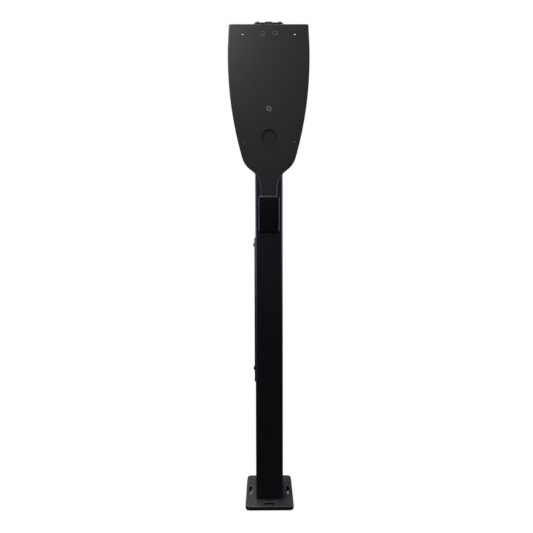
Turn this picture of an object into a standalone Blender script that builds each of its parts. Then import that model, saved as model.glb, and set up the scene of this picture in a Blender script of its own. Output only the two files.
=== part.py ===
"""Visitor counter post: a square floor post with a shield-shaped head plate.

The post is a square steel tube on a slotted base plate.  A flat head plate is
screwed to its front, a beam sensor sits behind a dark cover in its left wall,
a display looks out of its rear wall and three sprung keys stand on its cap.
Units are metres, +Z is up, the head plate faces -Y, and the origin is the
centre of the base plate's underside.
"""

import math

import bmesh
import bpy
from mathutils import Vector

# ---------------------------------------------------------------------------
# Driving dimensions
# ---------------------------------------------------------------------------

GAP = 0.0003                # left between two pieces that rest on each other
CHORD_ERROR = 0.00014       # how far a facet may cut inside its true arc

TOTAL_HEIGHT = 1.048        # floor to the top of the cap

POST_WIDTH = 0.060
POST_WALL = 0.003
POST_CORNER = 0.005

BASE_SIZE = 0.105
BASE_THICKNESS = 0.008
BASE_CORNER = 0.008
BASE_CHAMFER = 0.0016
SLOT_LENGTH = 0.025
SLOT_WIDTH = 0.007
SLOT_TO_EDGE = 0.010
CABLE_BORE = 0.030
FOOT_BLOCK_HEIGHT = 0.030
FOOT_SCREW_INSET = 0.0077   # from the foot block's edge to the screw's axis

CAP_THICKNESS = 0.003
CAP_OVERHANG = 0.002
CAP_EDGE = 0.0008

PLATE_THICKNESS = 0.005
PLATE_BELOW_TOP = 0.005     # plate's top edge under the cap's top face
PLATE_TOP_HALF = 0.0844
PLATE_HALF = 0.0872
PLATE_FOOT_HALF = 0.0532
PLATE_SHOULDER_DROP = 0.053
PLATE_WAIST_DROP = 0.1765
PLATE_FOOT_DROP = 0.2977
NECK_HALF = 0.0178
NECK_DROP = 0.3221
NECK_LENGTH = 0.1039
SHOULDER_RADIUS = 0.450
WAIST_RADIUS = 0.770
FOOT_RADIUS = 0.0486
NECK_RADIUS = 0.0478
TOP_CORNER_RADIUS = 0.0035
PLATE_FRONT_ROUND = 0.0020
PLATE_BACK_ROUND = 0.0006

TOP_SCREW_DROP = 0.0185
TOP_SCREW_HALF_PITCH = 0.013
LOW_SCREW_DROP = 0.177
CABLE_WINDOW_RADIUS = 0.01625
CABLE_WINDOW_DROP = 0.2375
SMALL_HOLE_RADIUS = 0.00225
SMALL_TOP_HALF = 0.0554
SMALL_TOP_DROP = 0.021
SMALL_LOW_HALF = 0.0544
SMALL_LOW_DROP = 0.248
BAR_HALF_WIDTH = 0.020
BAR_THICKNESS = 0.005
BAR_CABLE_RADIUS = 0.012
POST_CABLE_RADIUS = 0.010
PLUG_THICKNESS = 0.0027

COVER_WIDTH = 0.044
COVER_HEIGHT = 0.078
COVER_TOP_DEPTH = 0.018
COVER_FOOT_DEPTH = 0.010
COVER_WALL = 0.0018
COVER_TOP_ROUND = 0.005
COVER_SIDE_ROUND = 0.0016
COVER_PAST_NECK = 0.015     # cover's lower end below the neck's end
NECK_SCREW_RISE = 0.030     # neck screw above the neck's end

SIDE_COVER_WIDTH = 0.046
SIDE_COVER_HEIGHT = 0.320
SIDE_COVER_THICKNESS = 0.0020
SIDE_COVER_FOOT = 0.269
SIDE_SCREW_TOP_INSET = 0.015
SIDE_SCREW_LOW_INSET = 0.024
SIDE_OPENING_INSET = 0.012  # from the upper screw's axis to the opening
SIDE_OPENING_LOW_INSET = 0.012

CARRIER_THICKNESS = 0.0025
LENS_RADIUS = 0.0060
LENS_SPACE = 0.0028          # between the two lens sleeves
LENS_DROP = 0.028           # from the opening's top end
SLEEVE_WALL = 0.0010
SENSOR_BOARD_WIDTH = 0.031
SENSOR_BOARD_HEIGHT = 0.090
BOARD_THICKNESS = 0.0016
STAKE_LENGTH = 0.0024

CELL_RADIUS = 0.0070
CELL_LENGTH = 0.0505
CELL_NUB = 0.0012
CELL_SPACE = 0.0016         # between the two columns of cells
HOLDER_WALL = 0.0012
HOLDER_END_ROOM = 0.003

KEY_RADIUS = 0.0057
KEY_FROM_FRONT = 0.012      # key's centre behind the post's front face
KEY_FROM_SIDE = 0.006       # outer key's centre inside the post's side face
CENTRE_KEY_WIDTH = 0.019
KEY_HEIGHT = 0.0065
KEY_TRAVEL = 0.0015
KEY_WELL_FLOOR = 0.0012
STEM_RADIUS = 0.0020
STEM_OFFSET = 0.003         # outer stems stand this much nearer the middle
STEM_BELOW_CAP = 0.0039
CLIP_THICKNESS = 0.0008
CLIP_RADIUS = 0.0042
SPRING_RADIUS = 0.0032
SPRING_WIRE = 0.0003
SPRING_TURNS = 4
SPRING_LENGTH = 0.0073
SWITCH_WIDTH = 0.0038
SWITCH_HEIGHT = 0.0018
KEY_BOARD_SIDE_ROOM = 0.0025 # from the key board's end to the post's wall
KEY_BOARD_DEPTH = 0.0126

DISPLAY_DROP = 0.065
DISPLAY_OPENING_HEIGHT = 0.016
BEZEL_SIDE_MARGIN = 0.005   # from the bezel's edge to the post's side face
BEZEL_HEIGHT = 0.034
BEZEL_SIDE_RIM = 0.007      # bezel beyond the opening on either side
BEZEL_LIP_X = 0.003         # bezel over the window on either side
BEZEL_LIP_Z = 0.002
BEZEL_THICKNESS = 0.003
BEZEL_SCREW_INSET = (0.0035, 0.0045)
WINDOW_THICKNESS = 0.0024
PANEL_MARGIN = 0.001        # panel beyond the opening on either side
PANEL_HEIGHT = 0.026
PANEL_THICKNESS = 0.004
MAIN_BOARD_SIDE_ROOM = 0.003
MAIN_BOARD_ABOVE = 0.030
MAIN_BOARD_BELOW = 0.055
MAIN_BOARD_DEPTH = 0.0070   # board's face behind the rear wall's inner face

# Screws: shank radius, head radius, head height, hexagon across flats.
# A countersunk head is as high as its 45 degree cone and its rim make it.
M8_COUNTERSUNK = {"shank": 0.0040, "head": 0.0076, "hexagon": 0.005}
M6_COUNTERSUNK = {"shank": 0.0030, "head": 0.0057, "hexagon": 0.004}
M5_BUTTON = {"shank": 0.0025, "head": 0.00475, "height": 0.00275, "hexagon": 0.003}
M4_BUTTON = {"shank": 0.0020, "head": 0.0038, "height": 0.0022, "hexagon": 0.0025}
M3_BUTTON = {"shank": 0.0015, "head": 0.0028, "height": 0.0016, "hexagon": 0.002}
M2_BUTTON = {"shank": 0.0010, "head": 0.0019, "height": 0.0012, "hexagon": 0.0013}
HEAD_RIM = 0.0002           # upright rim around a countersunk head
CONE_ROOM = 0.0004          # countersink's radius beyond the head's cone
COUNTERSINK_SINK = 0.0004   # screw's head below the face
HOLE_ROOM = 0.0003          # hole's radius beyond the shank

LEAD_RADIUS = 0.0012
LEAD_STEPS = 4              # straight pieces between two points of a lead's route

# How far cutters and joined shapes run into what they meet
PAST = 0.002                # a cutter runs this far past the face that it cuts
SHORT_PAST = 0.001          # the same where a neighbour is near
BITE = 0.0005               # a joined shape starts this far inside its board or body
LEAST_RADIUS = 0.001        # no corner is sharper than this

# Small details
SCREW_BEYOND = 0.003        # a screw's end past the bar that it threads into
BEZEL_SCREW_BEYOND = 0.002
BAR_ABOVE_SCREW = 0.006
BAR_BELOW_SCREW = 0.018
PLUG_BARB = 0.004           # the plug's spigot behind the post's wall
PLUG_EDGE = 0.0005
GRUB_CONE = 0.0006
GRUB_EDGE = 0.0002
GRUB_POINT = 0.65           # the point's radius as a share of the screw's
GRUB_SOCKET = 0.0016
NECK_END_RADIUS = 0.003
COVER_TOP_CORNER = 0.0056
COVER_FOOT_CORNER = 0.0030
SIDE_COVER_CORNER = 0.003
SIDE_COVER_EDGE = 0.0005
NUT_DEPTH = 0.004
NUT_WIDTH = 0.008
STAKE_INSET_Z = 0.006       # under the opening's top edge
STAKE_INSET_Y = 0.0035
STAKE_FROM_END = 0.004      # from the board's end to the stake's axis
STAKE_RADIUS = 0.0022
STAKE_PIN_RADIUS = 0.0010
STAKE_PROUD = 0.0006
CARRIER_BELOW_BOARD = 0.020
CARRIER_ROUND_SCREW = 0.010
CARRIER_CORNER = 0.002
LENS_SEAT = 0.0015          # the step behind the lens that it rests on
LENS_THICKNESS = 0.0018
LENS_RIM = 0.00072
EYE_RADIUS = 0.0025
CHIP_SIDE = 0.010
CHIP_THICKNESS = 0.0012
SENSOR_CHIP_RISE = 0.055
SENSOR_SOCKET_RISE = 0.034
MAIN_CHIP_SIDE = 0.014
MAIN_CHIP_THICKNESS = 0.0014
MAIN_CHIP_DROP = 0.011
LEAD_SOCKET_WIDTH = 0.012
LEAD_SOCKET_HEIGHT = 0.008
LEAD_SOCKET_DEPTH = 0.005
SOCKET_FROM_EDGE = 0.008
LOW_SOCKET_X = 0.014
SPACER_RADIUS = 0.0025
NUB_RADIUS = 0.0027
BATTERY_LEAD_DROP = 0.012
CAP_SCREW_X = 0.012
CAP_SCREW_DROP = 0.006
CAP_SCREW_BITE = 0.005
RIB_HALF = 0.018
REAR_RIB = 0.0045
FRONT_RIB = 0.0018
FRONT_RIB_DEPTH = 0.006
PILLAR_RADIUS = 0.0024
PILLAR_TAP = 0.005
KEY_CROWN = 0.0016
CLIP_MOUTH = 0.8            # the clip's mouth as a share of its hole
DEAD_TURNS = 0.15           # share of the spring's turns that lie flat at either end
DEAD_TURN_RISE = 0.12
PLUNGER_RADIUS = 0.0011
BEZEL_CORNER = 0.004
BEZEL_EDGE = 0.0010
LEAD_ROOM = 0.0005          # from a lead's end to its socket
LEAD_STRAIGHT = 0.004       # a lead leaves its socket straight for this far

# ---------------------------------------------------------------------------
# Places that follow from them
# ---------------------------------------------------------------------------

POST_HALF = POST_WIDTH / 2
INNER_HALF = POST_HALF - POST_WALL
POST_TOP = TOTAL_HEIGHT - CAP_THICKNESS - GAP
POST_FOOT = BASE_THICKNESS + GAP
CAP_UNDERSIDE = TOTAL_HEIGHT - CAP_THICKNESS

PLATE_TOP = TOTAL_HEIGHT - PLATE_BELOW_TOP
PLATE_BACK_Y = -POST_HALF - GAP
PLATE_FRONT_Y = PLATE_BACK_Y - PLATE_THICKNESS
NECK_END = PLATE_TOP - NECK_DROP - NECK_LENGTH
COVER_FOOT = NECK_END - COVER_PAST_NECK
NECK_SCREW_Z = NECK_END + NECK_SCREW_RISE
BAR_FRONT_Y = -INNER_HALF + GAP

SIDE_COVER_TOP = SIDE_COVER_FOOT + SIDE_COVER_HEIGHT
SIDE_SCREW_TOP_Z = SIDE_COVER_TOP - SIDE_SCREW_TOP_INSET
SIDE_SCREW_LOW_Z = SIDE_COVER_FOOT + SIDE_SCREW_LOW_INSET
OPENING_TOP = SIDE_SCREW_TOP_Z - SIDE_OPENING_INSET
OPENING_FOOT = SIDE_SCREW_LOW_Z + SIDE_OPENING_LOW_INSET
CARRIER_X = -INNER_HALF + GAP
CARRIER_BACK_X = CARRIER_X + CARRIER_THICKNESS
LENS_SLEEVE_RADIUS = LENS_RADIUS + GAP + SLEEVE_WALL
LENS_HALF_PITCH = LENS_SLEEVE_RADIUS + LENS_SPACE / 2
CELL_COLUMN_Y = CELL_RADIUS + CELL_SPACE / 2
HOLDER_INNER_HALF = CELL_COLUMN_Y + CELL_RADIUS + GAP
HOLDER_HALF = HOLDER_INNER_HALF + HOLDER_WALL
SIDE_OPENING_WIDTH = 2 * (HOLDER_HALF + GAP)

KEY_Y = -POST_HALF + KEY_FROM_FRONT
KEY_X = POST_HALF - KEY_FROM_SIDE
STEM_X = KEY_X - STEM_OFFSET
CLIP_TOP = CAP_UNDERSIDE - GAP
CLIP_FOOT = CLIP_TOP - CLIP_THICKNESS
SPRING_TOP = CLIP_FOOT - GAP
SPRING_FOOT = SPRING_TOP - SPRING_LENGTH
KEY_BOARD_TOP = SPRING_FOOT - GAP
PILLAR_X = STEM_X / 2

KEY_BOARD_WIDTH = 2 * (INNER_HALF - KEY_BOARD_SIDE_ROOM)

DISPLAY_Z = TOTAL_HEIGHT - DISPLAY_DROP
BEZEL_SIZE = (POST_WIDTH - 2 * BEZEL_SIDE_MARGIN, BEZEL_HEIGHT)
DISPLAY_OPENING = (BEZEL_SIZE[0] - 2 * BEZEL_SIDE_RIM, DISPLAY_OPENING_HEIGHT)
BEZEL_VIEW = (DISPLAY_OPENING[0] - 2 * BEZEL_LIP_X, DISPLAY_OPENING[1] - 2 * BEZEL_LIP_Z)
PANEL_SIZE = (DISPLAY_OPENING[0] + 2 * PANEL_MARGIN, PANEL_HEIGHT)
MAIN_BOARD_WIDTH = 2 * (INNER_HALF - MAIN_BOARD_SIDE_ROOM)
MAIN_BOARD_Y = INNER_HALF - MAIN_BOARD_DEPTH

# ---------------------------------------------------------------------------
# Materials
# ---------------------------------------------------------------------------


def make_material(name, colour, roughness, metallic=0.0):
    made = bpy.data.materials.new(name)
    made.use_nodes = True
    shader = made.node_tree.nodes["Principled BSDF"]
    shader.inputs["Base Color"].default_value = (*colour, 1.0)
    shader.inputs["Roughness"].default_value = roughness
    shader.inputs["Metallic"].default_value = metallic
    made.diffuse_color = (*colour, 1.0)
    return made


# ---------------------------------------------------------------------------
# Outlines: lists of (point, outward normal) in a plane, anticlockwise
# ---------------------------------------------------------------------------


def arc_steps(radius, angle):
    """Facets that keep an arc within CHORD_ERROR of its true line."""
    widest = 2 * math.acos(max(0.0, 1 - CHORD_ERROR / max(radius, CHORD_ERROR)))
    return max(1, math.ceil(angle / widest))


def rounded_polygon(corners):
    """An outline through (u, v, radius) corners given anticlockwise."""
    outline = []
    for index, (u, v, radius) in enumerate(corners):
        here = Vector((u, v))
        before = Vector(corners[index - 1][:2])
        after = Vector(corners[(index + 1) % len(corners)][:2])
        arriving = (here - before).normalized()
        leaving = (after - here).normalized()
        turn = arriving.angle_signed(leaving) * -1
        reach = radius * math.tan(abs(turn) / 2)
        side = 1 if turn > 0 else -1
        start = here - arriving * reach
        normal = Vector((arriving.y, -arriving.x))
        centre = start - normal * radius * side
        steps = arc_steps(radius, abs(turn)) if radius > 0 else 1
        for step in range(steps + 1):
            angle = turn * step / steps
            spoke = Vector((
                normal.x * math.cos(angle) - normal.y * math.sin(angle),
                normal.x * math.sin(angle) + normal.y * math.cos(angle),
            ))
            outline.append((centre + spoke * radius * side, spoke))
    return outline


def rounded_rectangle(width, height, radius, centre=(0.0, 0.0)):
    u, v = centre
    half_width = width / 2
    half_height = height / 2
    return rounded_polygon([
        (u - half_width, v - half_height, radius),
        (u + half_width, v - half_height, radius),
        (u + half_width, v + half_height, radius),
        (u - half_width, v + half_height, radius),
    ])


def round_outline(radius, centre=(0.0, 0.0)):
    steps = max(12, arc_steps(radius, 2 * math.pi))
    outline = []
    for step in range(steps):
        angle = 2 * math.pi * step / steps
        spoke = Vector((math.cos(angle), math.sin(angle)))
        outline.append((Vector(centre) + spoke * radius, spoke))
    return outline


def hexagon_outline(across_flats, centre=(0.0, 0.0)):
    radius = across_flats / math.sqrt(3)
    outline = []
    for step in range(6):
        angle = math.radians(60 * step)
        spoke = Vector((math.cos(angle), math.sin(angle)))
        outline.append((Vector(centre) + spoke * radius, spoke))
    return outline


# ---------------------------------------------------------------------------
# Solids
# ---------------------------------------------------------------------------

AXIS_ORDER = {
    "X": lambda u, v, depth: (depth, u, v),
    "Y": lambda u, v, depth: (u, depth, v),
    "Z": lambda u, v, depth: (u, v, depth),
}


def finished_mesh(name, shape):
    bmesh.ops.remove_doubles(shape, verts=shape.verts, dist=1e-6)
    bmesh.ops.recalc_face_normals(shape, faces=shape.faces)
    mesh = bpy.data.meshes.new(name)
    shape.to_mesh(mesh)
    shape.free()
    return mesh


def add_piece(name, mesh, material=None, place=(0, 0, 0), turn=(0, 0, 0)):
    piece = bpy.data.objects.new(name, mesh)
    bpy.context.collection.objects.link(piece)
    piece.location = place
    piece.rotation_euler = turn
    if material is not None:
        mesh.materials.append(material)
    return piece


def stacked(name, rings, material=None, place=(0, 0, 0), turn=(0, 0, 0), hollow=False):
    """A closed skin over rings of equal counts, capped, or joined end to start."""
    shape = bmesh.new()
    rows = [[shape.verts.new(point) for point in ring] for ring in rings]
    pairs = list(zip(rows, rows[1:]))
    if hollow:
        pairs.append((rows[-1], rows[0]))
    for low, high in pairs:
        for index in range(len(low)):
            after = (index + 1) % len(low)
            shape.faces.new((low[index], low[after], high[after], high[index]))
    if not hollow:
        shape.faces.new(rows[0])
        shape.faces.new(rows[-1])
    return add_piece(name, finished_mesh(name, shape), material, place, turn)


def ring_at(outline, axis, depth, inset=0.0):
    order = AXIS_ORDER[axis]
    ring = []
    for point, normal in outline:
        moved = point - normal * inset
        ring.append(order(moved.x, moved.y, depth))
    return ring


def slab(name, outline, axis, low, high, material=None, place=(0, 0, 0), turn=(0, 0, 0),
         low_round=0.0, high_round=0.0):
    """An outline given a thickness, with its two rims rounded if asked."""
    steps = 3
    rings = []
    if low_round > 0:
        for step in range(steps):
            angle = math.pi / 2 * step / steps
            inset = low_round * (1 - math.sin(angle))
            rings.append(ring_at(outline, axis, low + low_round * (1 - math.cos(angle)), inset))
        rings.append(ring_at(outline, axis, low + low_round))
    else:
        rings.append(ring_at(outline, axis, low))
    if high_round > 0:
        rings.append(ring_at(outline, axis, high - high_round))
        for step in range(1, steps + 1):
            angle = math.pi / 2 * step / steps
            inset = high_round * (1 - math.cos(angle))
            rings.append(ring_at(outline, axis, high - high_round * (1 - math.sin(angle)), inset))
    else:
        rings.append(ring_at(outline, axis, high))
    return stacked(name, rings, material, place, turn)


def block(name, low, high, material=None):
    """A plain box between two corners, its origin at its middle."""
    middle = [(a + b) / 2 for a, b in zip(low, high)]
    size = [b - a for a, b in zip(low, high)]
    outline = rounded_rectangle(size[0], size[1], 0.0)
    return slab(name, outline, "Z", -size[2] / 2, size[2] / 2, material, middle)


def turned(name, profile, material=None, place=(0, 0, 0), turn=(0, 0, 0), sides=None):
    """A solid of revolution about local Z from (radius, height) points, tip to tip."""
    widest = max(radius for radius, _ in profile)
    count = sides or max(12, arc_steps(widest, 2 * math.pi))
    shape = bmesh.new()
    rows = []
    for radius, height in profile:
        if radius == 0:
            rows.append([shape.verts.new((0, 0, height))])
            continue
        rows.append([
            shape.verts.new((
                radius * math.cos(2 * math.pi * step / count),
                radius * math.sin(2 * math.pi * step / count),
                height,
            ))
            for step in range(count)
        ])
    for low, high in zip(rows, rows[1:]):
        for index in range(count):
            after = (index + 1) % count
            corners = [low[index % len(low)], low[after % len(low)]]
            corners += [high[after % len(high)], high[index % len(high)]]
            shape.faces.new(list(dict.fromkeys(corners)))
    return add_piece(name, finished_mesh(name, shape), material, place, turn)


def split_into_triangles(mesh):
    """Booleans on plain triangles leave no face with a hole in it."""
    shape = bmesh.new()
    shape.from_mesh(mesh)
    bmesh.ops.triangulate(shape, faces=shape.faces)
    shape.to_mesh(mesh)
    shape.free()


def combine(piece, others, operation):
    """Cut the others from the piece, or join them to it, for good."""
    material = piece.data.materials[0] if piece.data.materials else None
    for other in others:
        split_into_triangles(piece.data)
        step = piece.modifiers.new(operation.lower(), "BOOLEAN")
        step.operation = operation
        step.solver = "EXACT"
        step.object = other
        bpy.context.view_layer.update()
        seen = piece.evaluated_get(bpy.context.evaluated_depsgraph_get())
        mesh = bpy.data.meshes.new_from_object(seen)
        piece.modifiers.clear()
        piece.data = mesh
        bpy.data.objects.remove(other)
    mesh.name = piece.name
    mesh.materials.clear()
    if material is not None:
        mesh.materials.append(material)
    for face in mesh.polygons:
        face.material_index = 0
    return piece


def carve(piece, *cutters):
    return combine(piece, cutters, "DIFFERENCE")


def join(piece, *others):
    return combine(piece, others, "UNION")


def bore(radius, axis, low, high, centre):
    return slab("bore", round_outline(radius, centre), axis, low, high)


def cutting_box(low, high):
    return block("cutter", low, high)


FACING_FRONT = (math.pi / 2, 0, 0)
FACING_BACK = (-math.pi / 2, 0, 0)
FACING_LEFT = (0, -math.pi / 2, 0)
FACING_DOWN = (math.pi, 0, 0)
FACING_UP = (0, 0, 0)


def screw(name, size, length, place, turn, material, countersunk=False, sides=None):
    """A hexagon socket screw along local Z: the head's face or seat lies at z = 0."""
    shank = size["shank"]
    head = size["head"]
    tip = shank * 0.25
    profile = [(0, -length), (shank - tip, -length), (shank, -length + tip)]
    if countersunk:
        height = head - shank + HEAD_RIM
        profile += [(shank, -height), (head, -HEAD_RIM), (head - HEAD_RIM, 0), (0, 0)]
        top = 0.0
    else:
        height = size["height"]
        profile += [(shank, 0), (head, 0), (head, height * 0.18)]
        crown = 3
        for step in range(1, crown + 1):
            angle = math.pi / 2 * step / crown * 0.72
            profile.append((
                head * 0.45 + head * 0.55 * math.cos(angle),
                height * 0.18 + height * 0.82 * math.sin(angle) / math.sin(math.pi / 2 * 0.72),
            ))
        profile.append((0, height))
        top = height
    made = turned(name, profile, material, place, turn, sides)
    depth = min(height * 0.75, length * 0.8)
    socket = slab(
        "socket", hexagon_outline(size["hexagon"]), "Z", top - depth, top + SHORT_PAST,
        None, place, turn,
    )
    return carve(made, socket)


def countersink(size, axis, face, inward, centre, through):
    """A cutter for a countersunk screw: a cone at the face and a hole behind it."""
    mouth = size["head"] + COUNTERSINK_SINK + HEAD_RIM + CONE_ROOM
    hole = size["shank"] + HOLE_ROOM
    proud = SHORT_PAST
    profile = [
        (0, -proud),
        (mouth + proud, -proud),
        (hole, mouth - hole),
        (hole, through),
        (0, through),
    ]
    turn = {
        ("Y", 1): FACING_BACK,
        ("Z", 1): FACING_UP,
    }[(axis, inward)]
    u, v = centre
    place = AXIS_ORDER[axis](u, v, face)
    return turned("countersink", profile, None, place, turn, 28)


def lead(name, route, material):
    """A thin wire along a smooth curve through the route's points."""
    points = [Vector(point) for point in route]
    ways = [(b - a).normalized() for a, b in zip(points, points[1:])]
    headings = [ways[0]] + [(a + b).normalized() for a, b in zip(ways, ways[1:])] + [ways[-1]]
    samples = [points[0]]
    for index, (a, b) in enumerate(zip(points, points[1:])):
        leaving = headings[index] * (b - a).length
        arriving = headings[index + 1] * (b - a).length
        for step in range(1, LEAD_STEPS + 1):
            t = step / LEAD_STEPS
            samples.append(
                a * (2 * t ** 3 - 3 * t ** 2 + 1) + b * (3 * t ** 2 - 2 * t ** 3)
                + leaving * (t ** 3 - 2 * t ** 2 + t) + arriving * (t ** 3 - t ** 2)
            )
    curve = bpy.data.curves.new(name, "CURVE")
    curve.dimensions = "3D"
    curve.bevel_depth = LEAD_RADIUS
    curve.bevel_resolution = 1
    curve.use_fill_caps = True
    spline = curve.splines.new("POLY")
    spline.points.add(len(samples) - 1)
    for point, sample in zip(spline.points, samples):
        point.co = (*sample, 1)
    curve.materials.append(material)
    made = bpy.data.objects.new(name, curve)
    bpy.context.collection.objects.link(made)
    return made


# ---------------------------------------------------------------------------
# The foot: base plate, foot block and its screws
# ---------------------------------------------------------------------------


def foot_screw_places():
    reach = INNER_HALF - GAP - FOOT_SCREW_INSET
    return [(x * reach, y * reach) for x in (-1, 1) for y in (-1, 1)]


def make_foot(coat, steel):
    outline = rounded_rectangle(BASE_SIZE, BASE_SIZE, BASE_CORNER)
    plate = slab("base_plate", outline, "Z", 0, BASE_THICKNESS, coat, high_round=BASE_CHAMFER)
    reach = BASE_SIZE / 2 - SLOT_TO_EDGE
    over = BASE_THICKNESS + PAST
    cutters = [bore(CABLE_BORE / 2, "Z", -PAST, over, (0, 0))]
    for side in (-1, 1):
        across = rounded_rectangle(SLOT_LENGTH, SLOT_WIDTH, SLOT_WIDTH * 0.4999, (0, side * reach))
        along = rounded_rectangle(SLOT_WIDTH, SLOT_LENGTH, SLOT_WIDTH * 0.4999, (side * reach, 0))
        cutters.append(slab("slot", across, "Z", -PAST, over))
        cutters.append(slab("slot", along, "Z", -PAST, over))
    for place in foot_screw_places():
        cutters.append(countersink(M8_COUNTERSUNK, "Z", 0, 1, place, over))
    carve(plate, *cutters)

    size = 2 * (INNER_HALF - GAP)
    foot_outline = rounded_rectangle(size, size, max(POST_CORNER - POST_WALL, LEAST_RADIUS))
    foot = slab("foot_block", foot_outline, "Z", POST_FOOT, POST_FOOT + FOOT_BLOCK_HEIGHT, steel)
    cutters = [bore(CABLE_BORE / 2, "Z", 0, POST_FOOT + FOOT_BLOCK_HEIGHT + PAST, (0, 0))]
    for place in foot_screw_places():
        radius = M8_COUNTERSUNK["shank"] + HOLE_ROOM
        cutters.append(bore(radius, "Z", 0, POST_FOOT + FOOT_BLOCK_HEIGHT + PAST, place))
    carve(foot, *cutters)

    length = POST_FOOT + FOOT_BLOCK_HEIGHT * 0.7
    for number, (x, y) in enumerate(foot_screw_places(), 1):
        screw(
            f"foot_screw_{number}", M8_COUNTERSUNK, length, (x, y, COUNTERSINK_SINK),
            FACING_DOWN, steel, countersunk=True, sides=14,
        )


# ---------------------------------------------------------------------------
# The post: square tube with its openings
# ---------------------------------------------------------------------------


def make_post(coat):
    outer = rounded_rectangle(POST_WIDTH, POST_WIDTH, POST_CORNER)
    inner_radius = POST_CORNER - POST_WALL
    inner = [(point - normal * POST_WALL, normal) for point, normal in outer]
    if inner_radius <= 0:
        inner = rounded_rectangle(2 * INNER_HALF, 2 * INNER_HALF, 0)
    rings = [
        ring_at(outer, "Z", POST_FOOT),
        ring_at(outer, "Z", POST_TOP),
        ring_at(inner, "Z", POST_TOP),
        ring_at(inner, "Z", POST_FOOT),
    ]
    post = stacked("post", rings, coat, hollow=True)

    out = POST_HALF + PAST
    within = INNER_HALF - PAST
    front = (-out, -within)
    rear = (within, out)
    m6_hole = M6_COUNTERSUNK["shank"] + HOLE_ROOM
    m5_hole = M5_BUTTON["shank"] + HOLE_ROOM
    m4_hole = M4_BUTTON["shank"] + HOLE_ROOM
    m3_hole = M3_BUTTON["shank"] + HOLE_ROOM
    half_opening = SIDE_OPENING_WIDTH / 2
    cutters = [
        cutting_box((-out, -half_opening, OPENING_FOOT), (-within, half_opening, OPENING_TOP)),
        bore(m5_hole, "X", -out, -within, (0, SIDE_SCREW_TOP_Z)),
        bore(m5_hole, "X", -out, -within, (0, SIDE_SCREW_LOW_Z)),
        bore(m5_hole, "Y", *front, (0, NECK_SCREW_Z)),
        bore(POST_CABLE_RADIUS, "Y", *front, (0, PLATE_TOP - CABLE_WINDOW_DROP)),
    ]
    for x, z in head_screw_places():
        cutters.append(bore(m6_hole, "Y", *front, (x, z)))
    for x in cap_screw_xs():
        cutters.append(bore(m4_hole, "Y", *rear, (x, cap_screw_z())))
    for x, z in bezel_screw_places():
        cutters.append(bore(m3_hole, "Y", *rear, (x, z)))
    width, height = DISPLAY_OPENING
    cutters.append(cutting_box(
        (-width / 2, within, DISPLAY_Z - height / 2),
        (width / 2, out, DISPLAY_Z + height / 2),
    ))
    carve(post, *cutters)


# ---------------------------------------------------------------------------
# The head: plate, screws, backing bar, plug and grub screws
# ---------------------------------------------------------------------------


def head_screw_places():
    high = PLATE_TOP - TOP_SCREW_DROP
    return [
        (-TOP_SCREW_HALF_PITCH, high),
        (TOP_SCREW_HALF_PITCH, high),
        (0, PLATE_TOP - LOW_SCREW_DROP),
    ]


def head_outline():
    """The shield shape: bowed sides, rounded foot and a narrow neck."""
    right_side = [
        (NECK_HALF, NECK_END, NECK_END_RADIUS),
        (NECK_HALF, PLATE_TOP - NECK_DROP, NECK_RADIUS),
        (PLATE_FOOT_HALF, PLATE_TOP - PLATE_FOOT_DROP, FOOT_RADIUS),
        (PLATE_HALF, PLATE_TOP - PLATE_WAIST_DROP, WAIST_RADIUS),
        (PLATE_HALF, PLATE_TOP - PLATE_SHOULDER_DROP, SHOULDER_RADIUS),
        (PLATE_TOP_HALF, PLATE_TOP, TOP_CORNER_RADIUS),
    ]
    left_side = [(-x, z, radius) for x, z, radius in reversed(right_side)]
    return rounded_polygon(right_side + left_side)


def grub_profile(radius, length, edge):
    """Half a headless screw's outline: a cone point and a flat driving end."""
    point = [(0, -length), (radius * GRUB_POINT, -length), (radius, -length + GRUB_CONE)]
    if edge:
        point.append((radius, -edge))
    return point + [(radius - edge, 0), (0, 0)]


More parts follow.
